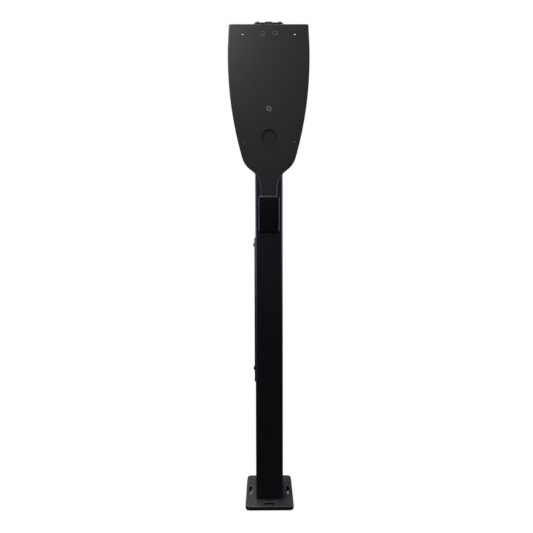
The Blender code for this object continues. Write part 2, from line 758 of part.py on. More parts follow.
def make_head(coat, steel, plug_coat):
    plate = slab(
        "head_plate", head_outline(), "Y", PLATE_FRONT_Y, PLATE_BACK_Y, coat,
        low_round=PLATE_FRONT_ROUND, high_round=PLATE_BACK_ROUND,
    )
    out = PLATE_FRONT_Y - PAST
    back = PLATE_BACK_Y + PAST
    through = PLATE_THICKNESS + PAST
    cutters = [
        countersink(M6_COUNTERSUNK, "Y", PLATE_FRONT_Y, 1, place, through)
        for place in head_screw_places()
    ]
    window_z = PLATE_TOP - CABLE_WINDOW_DROP
    cutters.append(bore(CABLE_WINDOW_RADIUS, "Y", out, back, (0, window_z)))
    cutters.append(bore(M5_BUTTON["shank"] + HOLE_ROOM, "Y", out, back, (0, NECK_SCREW_Z)))
    for side in (-1, 1):
        high = (side * SMALL_TOP_HALF, PLATE_TOP - SMALL_TOP_DROP)
        low = (side * SMALL_LOW_HALF, PLATE_TOP - SMALL_LOW_DROP)
        cutters.append(bore(SMALL_HOLE_RADIUS, "Y", out, back, high))
        cutters.append(bore(SMALL_HOLE_RADIUS, "Y", out, back, low))
    carve(plate, *cutters)

    bar_back = BAR_FRONT_Y + BAR_THICKNESS
    top_row = PLATE_TOP - TOP_SCREW_DROP
    bar = block(
        "backing_bar",
        (-BAR_HALF_WIDTH, BAR_FRONT_Y, NECK_SCREW_Z - BAR_BELOW_SCREW),
        (BAR_HALF_WIDTH, bar_back, top_row + BAR_ABOVE_SCREW),
        steel,
    )
    tap = M6_COUNTERSUNK["shank"] + HOLE_ROOM
    low = BAR_FRONT_Y - PAST
    high = bar_back + PAST
    cutters = [bore(tap, "Y", low, high, place) for place in head_screw_places()]
    cutters.append(bore(M5_BUTTON["shank"] + HOLE_ROOM, "Y", low, high, (0, NECK_SCREW_Z)))
    cutters.append(bore(BAR_CABLE_RADIUS, "Y", low, high, (0, window_z)))
    carve(bar, *cutters)

    reach = bar_back + SCREW_BEYOND - (PLATE_FRONT_Y + COUNTERSINK_SINK)
    for number, (x, z) in enumerate(head_screw_places(), 1):
        screw(
            f"head_screw_{number}", M6_COUNTERSUNK, reach,
            (x, PLATE_FRONT_Y + COUNTERSINK_SINK, z), FACING_FRONT, steel,
            countersunk=True, sides=28,
        )

    plug_back = PLATE_BACK_Y - GAP
    turned(
        "cable_hole_plug",
        [
            (0, -PLUG_THICKNESS - POST_WALL - PLUG_BARB),
            (POST_CABLE_RADIUS - 2 * GAP, -PLUG_THICKNESS - POST_WALL - PLUG_BARB),
            (POST_CABLE_RADIUS - 2 * GAP, -PLUG_THICKNESS),
            (CABLE_WINDOW_RADIUS - GAP, -PLUG_THICKNESS),
            (CABLE_WINDOW_RADIUS - GAP, -PLUG_EDGE),
            (CABLE_WINDOW_RADIUS - GAP - PLUG_EDGE, 0),
            (0, 0),
        ],
        plug_coat, (0, plug_back - PLUG_THICKNESS, window_z), FACING_FRONT,
    )

    for number, side in enumerate((-1, 1), 1):
        radius = SMALL_HOLE_RADIUS - GAP
        length = PLATE_THICKNESS - 3 * GAP
        place = (side * SMALL_LOW_HALF, PLATE_FRONT_Y + 2 * GAP, PLATE_TOP - SMALL_LOW_DROP)
        grub = turned(
            f"plate_grub_screw_{number}",
            grub_profile(radius, length, GRUB_EDGE), steel, place, FACING_FRONT, 14,
        )
        socket = slab(
            "socket", hexagon_outline(radius), "Z", -GRUB_SOCKET, SHORT_PAST, None, place, FACING_FRONT,
        )
        carve(grub, socket)


# ---------------------------------------------------------------------------
# The neck cover: a hollow housing with a sloping front
# ---------------------------------------------------------------------------


def cover_shell(name, inset, material=None, back=PLATE_BACK_Y):
    """The cover's form, shrunk by inset, so that two of them make a wall."""
    width = COVER_WIDTH - 2 * inset
    height = COVER_HEIGHT - 2 * inset
    top_corner = max(COVER_TOP_CORNER - inset, LEAST_RADIUS)
    foot_corner = max(COVER_FOOT_CORNER - inset, LEAST_RADIUS)
    low = COVER_FOOT + inset
    outline = rounded_polygon([
        (-width / 2, low, foot_corner),
        (width / 2, low, foot_corner),
        (width / 2, low + height, top_corner),
        (-width / 2, low + height, top_corner),
    ])

    def front_at(z):
        share = (z - COVER_FOOT) / COVER_HEIGHT
        depth = COVER_FOOT_DEPTH + (COVER_TOP_DEPTH - COVER_FOOT_DEPTH) * share
        return PLATE_BACK_Y - depth + inset

    steps = 5
    rings = [ring_at(outline, "Y", back)]
    for step in range(steps + 1):
        angle = math.pi / 2 * step / steps
        ring = []
        for point, normal in outline:
            upward = max(normal.y, 0.0) ** 2
            full = COVER_SIDE_ROUND + (COVER_TOP_ROUND - COVER_SIDE_ROUND) * upward
            radius = max(full - inset, LEAST_RADIUS * 0.4)
            moved = point - normal * radius * (1 - math.cos(angle))
            ring.append((moved.x, front_at(moved.y) + radius * (1 - math.sin(angle)), moved.y))
        rings.append(ring)
    return stacked(name, rings, material)


def make_neck_cover(coat, steel):
    cover = cover_shell("neck_cover", 0.0, coat)
    hollow = cover_shell("hollow", COVER_WALL, None, PLATE_BACK_Y + PAST)
    set_y = (PLATE_BACK_Y + PLATE_FRONT_Y) / 2
    set_radius = M3_BUTTON["shank"]
    hole = bore(
        set_radius + HOLE_ROOM, "Z", COVER_FOOT - PAST, COVER_FOOT + COVER_WALL + PAST, (0, set_y),
    )
    notch = cutting_box(
        (-NECK_HALF - GAP, PLATE_FRONT_Y - GAP, COVER_FOOT + COVER_HEIGHT / 2),
        (NECK_HALF + GAP, PLATE_BACK_Y + PAST, COVER_FOOT + COVER_HEIGHT + PAST),
    )
    carve(cover, hollow, hole, notch)

    screw(
        "neck_screw", M5_BUTTON, PLATE_THICKNESS + POST_WALL + BAR_THICKNESS + SCREW_BEYOND,
        (0, PLATE_FRONT_Y - GAP, NECK_SCREW_Z), FACING_FRONT, steel, sides=18,
    )

    length = NECK_END - GAP - (COVER_FOOT + GAP)
    grub = turned(
        "cover_set_screw",
        grub_profile(set_radius, length, 0.0),
        steel, (0, set_y, COVER_FOOT + GAP), FACING_DOWN, 12,
    )
    socket = slab(
        "socket", hexagon_outline(set_radius), "Z", -GRUB_SOCKET, SHORT_PAST, None,
        (0, set_y, COVER_FOOT + GAP), FACING_DOWN,
    )
    carve(grub, socket)


# ---------------------------------------------------------------------------
# The beam sensor in the left wall: cover, carrier, board, lenses and cells
# ---------------------------------------------------------------------------


def make_side_cover(dark, steel):
    middle = (SIDE_COVER_FOOT + SIDE_COVER_TOP) / 2
    outline = rounded_rectangle(SIDE_COVER_WIDTH, SIDE_COVER_HEIGHT, SIDE_COVER_CORNER, (0, middle))
    inner_face = -POST_HALF - GAP
    outer_face = inner_face - SIDE_COVER_THICKNESS
    cover = slab("side_cover", outline, "X", outer_face, inner_face, dark, low_round=SIDE_COVER_EDGE)
    hole = M5_BUTTON["shank"] + HOLE_ROOM
    cutters = [
        bore(hole, "X", outer_face - PAST, inner_face + PAST, (0, z))
        for z in (SIDE_SCREW_TOP_Z, SIDE_SCREW_LOW_Z)
    ]
    carve(cover, *cutters)

    nut_front = CARRIER_BACK_X + GAP
    length = nut_front + NUT_DEPTH - (outer_face - GAP)
    for number, z in enumerate((SIDE_SCREW_TOP_Z, SIDE_SCREW_LOW_Z), 1):
        screw(
            f"side_screw_{number}", M5_BUTTON, length, (outer_face - GAP, 0, z),
            FACING_LEFT, steel, sides=22,
        )
        nut = slab(
            f"side_nut_{number}", hexagon_outline(NUT_WIDTH, (0, z)), "X",
            nut_front, nut_front + NUT_DEPTH, steel,
        )
        carve(nut, bore(hole, "X", nut_front - PAST, nut_front + NUT_DEPTH + PAST, (0, z)))


def lens_places():
    z = OPENING_TOP - LENS_DROP
    return [(-LENS_HALF_PITCH, z), (LENS_HALF_PITCH, z)]


def stake_places():
    top = OPENING_TOP - STAKE_INSET_Z
    y = SENSOR_BOARD_WIDTH / 2 - STAKE_INSET_Y
    low = top - SENSOR_BOARD_HEIGHT + 2 * STAKE_FROM_END
    return [(side * y, z) for side in (-1, 1) for z in (top, low)]


def make_sensor(plastic, board_green, glass):
    foot = OPENING_TOP - SENSOR_BOARD_HEIGHT - CARRIER_BELOW_BOARD
    top = SIDE_SCREW_TOP_Z + CARRIER_ROUND_SCREW
    strip = slab(
        "sensor_carrier",
        rounded_rectangle(2 * HOLDER_HALF, top - foot, CARRIER_CORNER, (0, (top + foot) / 2)),
        "X", CARRIER_X, CARRIER_BACK_X, plastic,
    )
    sleeve_end = -POST_HALF + GAP
    bosses = []
    board_front = CARRIER_BACK_X + STAKE_LENGTH + GAP
    for place in lens_places():
        bosses.append(bore(LENS_SLEEVE_RADIUS, "X", sleeve_end, CARRIER_X + SHORT_PAST, place))
    for place in stake_places():
        bosses.append(bore(STAKE_RADIUS, "X", CARRIER_BACK_X - SHORT_PAST, board_front - GAP, place))
        pin_end = board_front + BOARD_THICKNESS + STAKE_PROUD
        bosses.append(bore(STAKE_PIN_RADIUS, "X", CARRIER_BACK_X - BITE, pin_end, place))
    join(strip, *bosses)
    screw_hole = M5_BUTTON["shank"] + HOLE_ROOM
    front = CARRIER_X - PAST
    back = CARRIER_BACK_X + PAST
    cutters = [bore(screw_hole, "X", front, back, (0, SIDE_SCREW_TOP_Z))]
    for place in lens_places():
        cutters.append(bore(LENS_RADIUS + GAP, "X", sleeve_end - PAST, CARRIER_X, place))
        cutters.append(bore(LENS_RADIUS - LENS_SEAT, "X", front, back, place))
    carve(strip, *cutters)

    crown_steps = 4
    bulge = []
    for step in range(crown_steps, -1, -1):
        angle = math.pi / 2 * step / crown_steps
        depth = LENS_RIM + (LENS_THICKNESS - LENS_RIM) * math.sin(angle)
        bulge.append((LENS_RADIUS * math.cos(angle), -depth))
    bulge[0] = (0, -LENS_THICKNESS)
    for name, (y, z) in zip(("beam_lens_out", "beam_lens_back"), lens_places()):
        turned(
            name, bulge + [(LENS_RADIUS, 0), (0, 0)], glass,
            (sleeve_end + 2 * GAP, y, z), FACING_LEFT,
        )

    top = stake_places()[0][1] + STAKE_FROM_END
    foot = top - SENSOR_BOARD_HEIGHT
    board_back = board_front + BOARD_THICKNESS
    board = block(
        "sensor_board",
        (board_front, -SENSOR_BOARD_WIDTH / 2, foot), (board_back, SENSOR_BOARD_WIDTH / 2, top),
        board_green,
    )
    eyes = [
        bore(EYE_RADIUS, "X", CARRIER_BACK_X - BITE, board_front + BITE, place)
        for place in lens_places()
    ]
    socket_z = foot + SENSOR_SOCKET_RISE
    socket = block(
        "lead_socket",
        (board_back - BITE, -LEAD_SOCKET_WIDTH / 2, socket_z - LEAD_SOCKET_HEIGHT / 2),
        (board_back + LEAD_SOCKET_DEPTH, LEAD_SOCKET_WIDTH / 2, socket_z + LEAD_SOCKET_HEIGHT / 2),
    )
    chip_z = foot + SENSOR_CHIP_RISE
    chip = block(
        "chip",
        (board_back - BITE, -CHIP_SIDE / 2, chip_z - CHIP_SIDE / 2),
        (board_back + CHIP_THICKNESS, CHIP_SIDE / 2, chip_z + CHIP_SIDE / 2),
    )
    join(board, socket, chip, *eyes)
    pin_hole = STAKE_PIN_RADIUS + GAP
    carve(board, *[
        bore(pin_hole, "X", board_front - SHORT_PAST, board_back + SHORT_PAST, place)
        for place in stake_places()
    ])
    return Vector((board_back + LEAD_SOCKET_DEPTH, 0, socket_z))


def make_battery(plastic, sleeve):
    front = -POST_HALF + 2 * GAP
    back = front + 2 * CELL_RADIUS + 4 * GAP + HOLDER_WALL
    foot = OPENING_FOOT + GAP
    inner_foot = foot + HOLDER_WALL
    inner_top = inner_foot + 2 * CELL_LENGTH + 2 * HOLDER_END_ROOM
    tray = block(
        "battery_holder",
        (front, -HOLDER_HALF, foot), (back, HOLDER_HALF, inner_top + HOLDER_WALL), plastic,
    )
    tab = block(
        "tab",
        (CARRIER_X, -CARRIER_ROUND_SCREW, SIDE_SCREW_LOW_Z - CARRIER_ROUND_SCREW),
        (CARRIER_BACK_X, CARRIER_ROUND_SCREW, foot + BITE),
    )
    join(tray, tab)
    hollow = cutting_box(
        (front - PAST, -HOLDER_INNER_HALF, inner_foot),
        (back - HOLDER_WALL, HOLDER_INNER_HALF, inner_top),
    )
    screw_hole = M5_BUTTON["shank"] + HOLE_ROOM
    carve(
        tray, hollow,
        bore(screw_hole, "X", CARRIER_X - PAST, CARRIER_BACK_X + PAST, (0, SIDE_SCREW_LOW_Z)),
    )

    axis_x = back - HOLDER_WALL - GAP - CELL_RADIUS
    number = 1
    for side in (-1, 1):
        for row in (0, 1):
            low = inner_foot + HOLDER_END_ROOM * 0.8 + row * (CELL_LENGTH + GAP)
            shoulder = CELL_LENGTH - CELL_NUB
            turned(
                f"cell_{number}",
                [(0, 0), (CELL_RADIUS, 0), (CELL_RADIUS, shoulder), (NUB_RADIUS, shoulder),
                 (NUB_RADIUS, CELL_LENGTH), (0, CELL_LENGTH)],
                sleeve, (axis_x, side * CELL_COLUMN_Y, low), FACING_UP, 16,
            )
            number += 1
    return Vector((back, 0, inner_top - BATTERY_LEAD_DROP))


# ---------------------------------------------------------------------------
# The cap with its three sprung keys
# ---------------------------------------------------------------------------

KEYS = (
    ("key_left", -KEY_X, -STEM_X, 2 * KEY_RADIUS),
    ("key_centre", 0.0, 0.0, CENTRE_KEY_WIDTH),
    ("key_right", KEY_X, STEM_X, 2 * KEY_RADIUS),
)


def cap_screw_xs():
    return (-CAP_SCREW_X, CAP_SCREW_X)


def cap_screw_z():
    return CAP_UNDERSIDE - CAP_SCREW_DROP


def make_cap(coat, steel):
    size = POST_WIDTH + 2 * CAP_OVERHANG
    outline = rounded_rectangle(size, size, POST_CORNER + CAP_OVERHANG)
    cap = slab("top_cap", outline, "Z", CAP_UNDERSIDE, TOTAL_HEIGHT, coat, high_round=CAP_EDGE)
    inside = INNER_HALF - GAP
    overlap = CAP_UNDERSIDE + BITE
    rear_foot = CAP_UNDERSIDE - 2 * CAP_SCREW_DROP
    ribs = [
        block("rib", (-RIB_HALF, inside - REAR_RIB, rear_foot), (RIB_HALF, inside, overlap)),
        block(
            "rib", (-RIB_HALF, -inside, CAP_UNDERSIDE - FRONT_RIB_DEPTH),
            (RIB_HALF, -inside + FRONT_RIB, overlap),
        ),
    ]
    for side in (-1, 1):
        place = (side * PILLAR_X, KEY_Y)
        ribs.append(bore(PILLAR_RADIUS, "Z", KEY_BOARD_TOP + GAP, overlap, place))
    join(cap, *ribs)
    cutters = []
    well_floor = CAP_UNDERSIDE + KEY_WELL_FLOOR
    for _, x, stem_x, width in KEYS:
        room = 2 * GAP
        depth = 2 * KEY_RADIUS + room
        well = rounded_rectangle(width + room, depth, depth * 0.4999, (x, KEY_Y))
        cutters.append(slab("well", well, "Z", well_floor, TOTAL_HEIGHT + PAST))
        stem_hole = STEM_RADIUS + GAP
        low = CAP_UNDERSIDE - PAST
        cutters.append(bore(stem_hole, "Z", low, well_floor + SHORT_PAST, (stem_x, KEY_Y)))
    for x in cap_screw_xs():
        tap = M4_BUTTON["shank"] + HOLE_ROOM
        tap_end = inside - REAR_RIB - PAST
        cutters.append(bore(tap, "Y", tap_end, inside + SHORT_PAST, (x, cap_screw_z())))
    for side in (-1, 1):
        tap = M2_BUTTON["shank"] + HOLE_ROOM
        low = KEY_BOARD_TOP - SHORT_PAST
        cutters.append(bore(tap, "Z", low, KEY_BOARD_TOP + PILLAR_TAP, (side * PILLAR_X, KEY_Y)))
    carve(cap, *cutters)

    for number, x in enumerate(cap_screw_xs(), 1):
        screw(
            f"cap_screw_{number}", M4_BUTTON, POST_WALL + CAP_SCREW_BITE,
            (x, POST_HALF + GAP, cap_screw_z()), FACING_BACK, steel, sides=18,
        )


def make_key(name, x, stem_x, width, rubber):
    """A domed key top on a grooved stem, its origin on the line it slides along."""
    foot = TOTAL_HEIGHT
    depth = 2 * KEY_RADIUS
    outline = rounded_rectangle(width, depth, depth * 0.4999)
    rings = [ring_at(outline, "Z", 0)]
    steps = 4
    for step in range(steps + 1):
        angle = math.pi / 2 * step / steps
        inset = KEY_CROWN * (1 - math.cos(angle))
        rings.append(ring_at(outline, "Z", KEY_HEIGHT - KEY_CROWN * (1 - math.sin(angle)), inset))
    key = stacked(name, rings, rubber, (x, KEY_Y, foot))
    below = foot - (CAP_UNDERSIDE - STEM_BELOW_CAP)
    groove_top = foot - (CLIP_TOP + GAP)
    groove_foot = foot - (CLIP_FOOT - GAP)
    neck = STEM_RADIUS - 2 * GAP
    stem = turned(
        "stem",
        [(0, -below), (STEM_RADIUS, -below), (STEM_RADIUS, -groove_foot), (neck, -groove_foot),
         (neck, -groove_top), (STEM_RADIUS, -groove_top), (STEM_RADIUS, SHORT_PAST), (0, SHORT_PAST)],
        None, (stem_x, KEY_Y, foot), FACING_UP, 16,
    )
    return join(key, stem)


def make_clip(name, stem_x, steel):
    """A flat clip, open on one side, that snaps into the stem's groove."""
    inner = STEM_RADIUS - GAP
    clip = slab(
        name, round_outline(CLIP_RADIUS), "Z", 0, CLIP_THICKNESS, steel, (stem_x, KEY_Y, CLIP_FOOT),
    )
    hole = bore(inner, "Z", CLIP_FOOT - SHORT_PAST, CLIP_TOP + SHORT_PAST, (stem_x, KEY_Y))
    mouth = cutting_box(
        (stem_x - inner * CLIP_MOUTH, KEY_Y, CLIP_FOOT - SHORT_PAST),
        (stem_x + inner * CLIP_MOUTH, KEY_Y + CLIP_RADIUS + SHORT_PAST, CLIP_TOP + SHORT_PAST),
    )
    return carve(clip, hole, mouth)


def make_spring(name, stem_x, steel):
    """A compression spring whose end turns lie flat."""
    per_turn = 10
    count = SPRING_TURNS * per_turn
    sides = 4
    rise = SPRING_LENGTH - 2 * SPRING_WIRE
    rings = []
    for step in range(count + 1):
        share = step / count
        angle = 2 * math.pi * SPRING_TURNS * share
        spread = min(max((share - DEAD_TURNS) / (1 - 2 * DEAD_TURNS), 0.0), 1.0)
        flat = DEAD_TURN_RISE * share + (1 - DEAD_TURN_RISE) * spread
        middle = Vector((
            SPRING_RADIUS * math.cos(angle), SPRING_RADIUS * math.sin(angle), SPRING_WIRE + rise * flat,
        ))
        outward = Vector((math.cos(angle), math.sin(angle), 0))
        ring = []
        for side in range(sides):
            around = 2 * math.pi * side / sides
            offset = outward * math.cos(around) + Vector((0, 0, 1)) * math.sin(around)
            ring.append(middle + offset * SPRING_WIRE)
        rings.append(ring)
    return stacked(name, rings, steel, (stem_x, KEY_Y, SPRING_FOOT))


def make_key_board(board_green, steel):
    top = KEY_BOARD_TOP
    half_depth = KEY_BOARD_DEPTH / 2
    board = block(
        "key_board",
        (-KEY_BOARD_WIDTH / 2, KEY_Y - half_depth, top - BOARD_THICKNESS),
        (KEY_BOARD_WIDTH / 2, KEY_Y + half_depth, top), board_green,
    )
    half = SWITCH_WIDTH / 2
    plunger_top = CAP_UNDERSIDE - STEM_BELOW_CAP - KEY_TRAVEL - GAP
    added = []
    for _, _, stem_x, _ in KEYS:
        added.append(block(
            "switch", (stem_x - half, KEY_Y - half, top - BITE),
            (stem_x + half, KEY_Y + half, top + SWITCH_HEIGHT),
        ))
        plunger_foot = top + SWITCH_HEIGHT - BITE
        added.append(bore(PLUNGER_RADIUS, "Z", plunger_foot, plunger_top, (stem_x, KEY_Y)))
    socket_top = top - BOARD_THICKNESS + BITE
    added.append(block(
        "lead_socket",
        (-LEAD_SOCKET_WIDTH / 2, KEY_Y, socket_top - LEAD_SOCKET_DEPTH),
        (LEAD_SOCKET_WIDTH / 2, KEY_Y + half_depth - SHORT_PAST, socket_top),
    ))
    join(board, *added)
    tap = M2_BUTTON["shank"] + HOLE_ROOM
    holes = [
        bore(tap, "Z", top - BOARD_THICKNESS - PAST, top + SHORT_PAST, (side * PILLAR_X, KEY_Y))
        for side in (-1, 1)
    ]
    carve(board, *holes)
    for number, side in enumerate((-1, 1), 1):
        screw(
            f"key_board_screw_{number}", M2_BUTTON, BOARD_THICKNESS + PILLAR_TAP - SHORT_PAST,
            (side * PILLAR_X, KEY_Y, top - BOARD_THICKNESS - GAP), FACING_DOWN, steel, sides=12,
        )
    return Vector((0, KEY_Y + half_depth / 2, socket_top - LEAD_SOCKET_DEPTH))


# ---------------------------------------------------------------------------
# The display in the rear wall
# ---------------------------------------------------------------------------


def bezel_screw_places():
    half_width = BEZEL_SIZE[0] / 2 - BEZEL_SCREW_INSET[0]
    half_height = BEZEL_SIZE[1] / 2 - BEZEL_SCREW_INSET[1]
    return [(x * half_width, DISPLAY_Z + z * half_height) for x in (-1, 1) for z in (-1, 1)]


def make_display(plastic, glass, dark, board_green, steel):
    seat = POST_HALF + GAP
    face = seat + BEZEL_THICKNESS
    outline = rounded_rectangle(*BEZEL_SIZE, BEZEL_CORNER, (0, DISPLAY_Z))
    bezel = slab("display_bezel", outline, "Y", seat, face, plastic, high_round=BEZEL_EDGE)
    view = rounded_rectangle(*BEZEL_VIEW, LEAST_RADIUS, (0, DISPLAY_Z))
    hole = M3_BUTTON["shank"] + HOLE_ROOM
    cutters = [slab("view", view, "Y", seat - PAST, face + PAST)]
    for place in bezel_screw_places():
        cutters.append(bore(hole, "Y", seat - PAST, face + PAST, place))
    carve(bezel, *cutters)

    width, height = (side - 2 * GAP for side in DISPLAY_OPENING)
    window_front = POST_HALF - GAP / 3
    block(
        "display_window",
        (-width / 2, window_front - WINDOW_THICKNESS, DISPLAY_Z - height / 2),
        (width / 2, window_front, DISPLAY_Z + height / 2), glass,
    )
    width, height = PANEL_SIZE
    panel_front = INNER_HALF - GAP
    block(
        "display_panel",
        (-width / 2, panel_front - PANEL_THICKNESS, DISPLAY_Z - height / 2),
        (width / 2, panel_front, DISPLAY_Z + height / 2), dark,
    )

    front = MAIN_BOARD_Y
    back = front - BOARD_THICKNESS
    half = MAIN_BOARD_WIDTH / 2
    board = block(
        "main_board",
        (-half, back, DISPLAY_Z - MAIN_BOARD_BELOW), (half, front, DISPLAY_Z + MAIN_BOARD_ABOVE),
        board_green,
    )
    added = []
    for place in bezel_screw_places():
        added.append(bore(SPACER_RADIUS, "Y", front - BITE, INNER_HALF - GAP, place))
    chip_z = DISPLAY_Z - MAIN_CHIP_DROP
    added.append(block(
        "chip",
        (-MAIN_CHIP_SIDE / 2, back - MAIN_CHIP_THICKNESS, chip_z - MAIN_CHIP_SIDE / 2),
        (MAIN_CHIP_SIDE / 2, back + BITE, chip_z + MAIN_CHIP_SIDE / 2),
    ))
    upper = DISPLAY_Z + MAIN_BOARD_ABOVE - SOCKET_FROM_EDGE
    lower = DISPLAY_Z - MAIN_BOARD_BELOW + SOCKET_FROM_EDGE
    sockets = {
        "keys": (0.0, upper),
        "sensor": (-LOW_SOCKET_X, lower),
        "battery": (LOW_SOCKET_X, lower),
    }
    half_width = LEAD_SOCKET_WIDTH / 2
    half_height = LEAD_SOCKET_HEIGHT / 2
    for x, z in sockets.values():
        added.append(block(
            "lead_socket",
            (x - half_width, back - LEAD_SOCKET_DEPTH, z - half_height),
            (x + half_width, back + BITE, z + half_height),
        ))
    join(board, *added)
    for place in bezel_screw_places():
        carve(board, bore(hole, "Y", back - SHORT_PAST, INNER_HALF + SHORT_PAST, place))

    length = face - back + BEZEL_SCREW_BEYOND
    for number, (x, z) in enumerate(bezel_screw_places(), 1):
        screw(
            f"bezel_screw_{number}", M3_BUTTON, length, (x, face + GAP, z),
            FACING_BACK, steel, sides=14,
        )
    return {name: Vector((x, back - LEAD_SOCKET_DEPTH, z)) for name, (x, z) in sockets.items()}


# ---------------------------------------------------------------------------
# The leads inside the post
# ---------------------------------------------------------------------------


def make_leads(sockets, sensor_end, battery_end, key_end, sleeve):
    back = Vector((0, -LEAD_STRAIGHT, 0))
    inward = Vector((LEAD_STRAIGHT, 0, 0))

    def run(name, start, start_way, finish, middle):
        first = start + start_way.normalized() * LEAD_ROOM
        last = finish + back.normalized() * LEAD_ROOM
        lead(name, [first, first + start_way, *middle, last + back, last], sleeve)

    target = sockets["sensor"]
    rise = target.z - sensor_end.z
    run("sensor_lead", sensor_end, inward, target, [
        (sensor_end.x + 0.007, 0.002, sensor_end.z + rise * 0.15),
        (sensor_end.x + 0.004, 0.001, sensor_end.z + rise * 0.55),
        (target.x, target.y - 0.007, target.z - rise * 0.12),
    ])
    target = sockets["battery"]
    rise = target.z - battery_end.z
    run("battery_lead", battery_end, inward, target, [
        (battery_end.x + 0.010, -0.004, battery_end.z + rise * 0.12),
        (battery_end.x + 0.016, -0.006, battery_end.z + rise * 0.5),
        (target.x, target.y - 0.009, target.z - rise * 0.1),
    ])
    target = sockets["keys"]
    run("key_lead", key_end, Vector((0, 0, -LEAD_STRAIGHT)), target, [
        (0.001, (key_end.y + target.y) / 2, (key_end.z + target.z) / 2 - 0.006),
    ])


# ---------------------------------------------------------------------------
# Assembly
# ---------------------------------------------------------------------------


def shade(piece):
    if piece.type != "MESH":
        return
    piece.data.shade_smooth()
    piece.data.set_sharp_from_angle(angle=math.radians(32))


def build():
    for old in list(bpy.data.objects):
        bpy.data.objects.remove(old)

    coat = make_material("black powder coat", (0.020, 0.022, 0.024), 0.42)
    steel = make_material("blackened steel", (0.030, 0.030, 0.032), 0.35, 0.8)
    plug_coat = make_material("black plug", (0.024, 0.025, 0.027), 0.45)
    housing = make_material("black housing", (0.016, 0.017, 0.019), 0.45)
    smoke = make_material("smoked cover", (0.010, 0.010, 0.014), 0.15)
    plastic = make_material("dark plastic", (0.035, 0.035, 0.038), 0.5)
    rubber = make_material("key rubber", (0.022, 0.022, 0.024), 0.6)
    zinc = make_material("zinc steel", (0.55, 0.56, 0.58), 0.35, 1.0)
    board = make_material("circuit board", (0.02, 0.11, 0.05), 0.5)
    clear = make_material("lens", (0.30, 0.06, 0.08), 0.1)
    screen = make_material("screen", (0.18, 0.22, 0.16), 0.3)
    sleeve = make_material("lead sleeve", (0.05, 0.05, 0.05), 0.55)
    cell = make_material("cell sleeve", (0.12, 0.20, 0.32), 0.35)

    make_foot(coat, zinc)
    make_post(coat)
    make_head(coat, steel, plug_coat)
    make_neck_cover(housing, steel)
    make_side_cover(smoke, steel)
    sensor_end = make_sensor(plastic, board, clear)
    battery_end = make_battery(plastic, cell)
    make_cap(coat, steel)
    for name, x, stem_x, width in KEYS:
        side = name.split("_")[1]
        make_key(name, x, stem_x, width, rubber)
        make_clip(f"key_clip_{side}", stem_x, zinc)
        make_spring(f"key_spring_{side}", stem_x, zinc)
    key_end = make_key_board(board, zinc)
    sockets = make_display(plastic, smoke, screen, board, steel)
    make_leads(sockets, sensor_end, battery_end, key_end, sleeve)
    for piece in bpy.data.objects:
        shade(piece)


build()
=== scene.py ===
# %% [markdown]
# # A visitor counter post
#
# The object is a slim black steel post with a shield-shaped head plate, for counting
# people at a doorway. Its sizes and moving parts come ready made in a frame of closed
# solids. This lesson gives it its finish: rounded edges, real screws, a live display,
# powder coat, moulded plastic, plated steel, and the light of a small studio.

# %% Load the frame
import math

import bmesh
import bpy
from mathutils import Euler, Matrix, Vector


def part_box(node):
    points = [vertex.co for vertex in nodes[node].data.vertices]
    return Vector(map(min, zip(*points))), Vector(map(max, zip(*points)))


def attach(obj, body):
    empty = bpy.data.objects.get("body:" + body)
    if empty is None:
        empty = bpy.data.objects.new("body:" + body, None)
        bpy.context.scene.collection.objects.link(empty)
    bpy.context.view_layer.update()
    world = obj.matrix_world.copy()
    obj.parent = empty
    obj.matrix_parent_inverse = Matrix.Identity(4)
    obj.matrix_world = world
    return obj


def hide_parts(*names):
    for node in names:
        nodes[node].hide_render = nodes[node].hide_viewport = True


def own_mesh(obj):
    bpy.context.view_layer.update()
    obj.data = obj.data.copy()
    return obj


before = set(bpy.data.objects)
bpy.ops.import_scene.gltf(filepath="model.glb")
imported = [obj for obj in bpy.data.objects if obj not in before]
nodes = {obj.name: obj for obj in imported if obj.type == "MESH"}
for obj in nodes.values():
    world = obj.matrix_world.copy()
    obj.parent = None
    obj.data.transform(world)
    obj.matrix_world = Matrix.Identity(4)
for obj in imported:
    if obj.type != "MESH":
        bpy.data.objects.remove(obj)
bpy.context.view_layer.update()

MM = 0.001

# %% [markdown]
# ## The camera
#
# A camera that stands close to a tall post sees its foot from above and its head from
# below. The height, the distance and the lens set how strongly the lines converge. The
# aim is given as three small angles, and the camera's axes are built from them as
# vectors, which is easier to follow than three chained rotations.

# %% Camera
CAMERA_PLACE = Vector((-0.0100, -0.8505, 0.6138))
CAMERA_LENS_MM = 25.54
CAMERA_SHIFT_Y = -0.0504
CAMERA_TURN = math.radians(0.31)
CAMERA_TILT = math.radians(-1.96)
CAMERA_ROLL = math.radians(-0.13)

forward = Vector((
    math.sin(CAMERA_TURN) * math.cos(CAMERA_TILT),
    math.cos(CAMERA_TURN) * math.cos(CAMERA_TILT),
    math.sin(CAMERA_TILT),
))
level_right = Vector((math.cos(CAMERA_TURN), -math.sin(CAMERA_TURN), 0))
level_up = level_right.cross(forward)
right = level_right * math.cos(CAMERA_ROLL) + level_up * math.sin(CAMERA_ROLL)
up = right.cross(forward)
camera_data = bpy.data.cameras.new("camera")
camera_data.lens = CAMERA_LENS_MM
camera_data.shift_y = CAMERA_SHIFT_Y
camera_data.clip_start = 0.01
camera = bpy.data.objects.new("camera", camera_data)
bpy.context.collection.objects.link(camera)
camera_axes = Matrix((right, up, -forward)).transposed().to_4x4()
camera.matrix_world = Matrix.Translation(CAMERA_PLACE) @ camera_axes
bpy.context.scene.camera = camera
print("camera:", round((CAMERA_PLACE.xy).length, 3), "m from the post's axis")

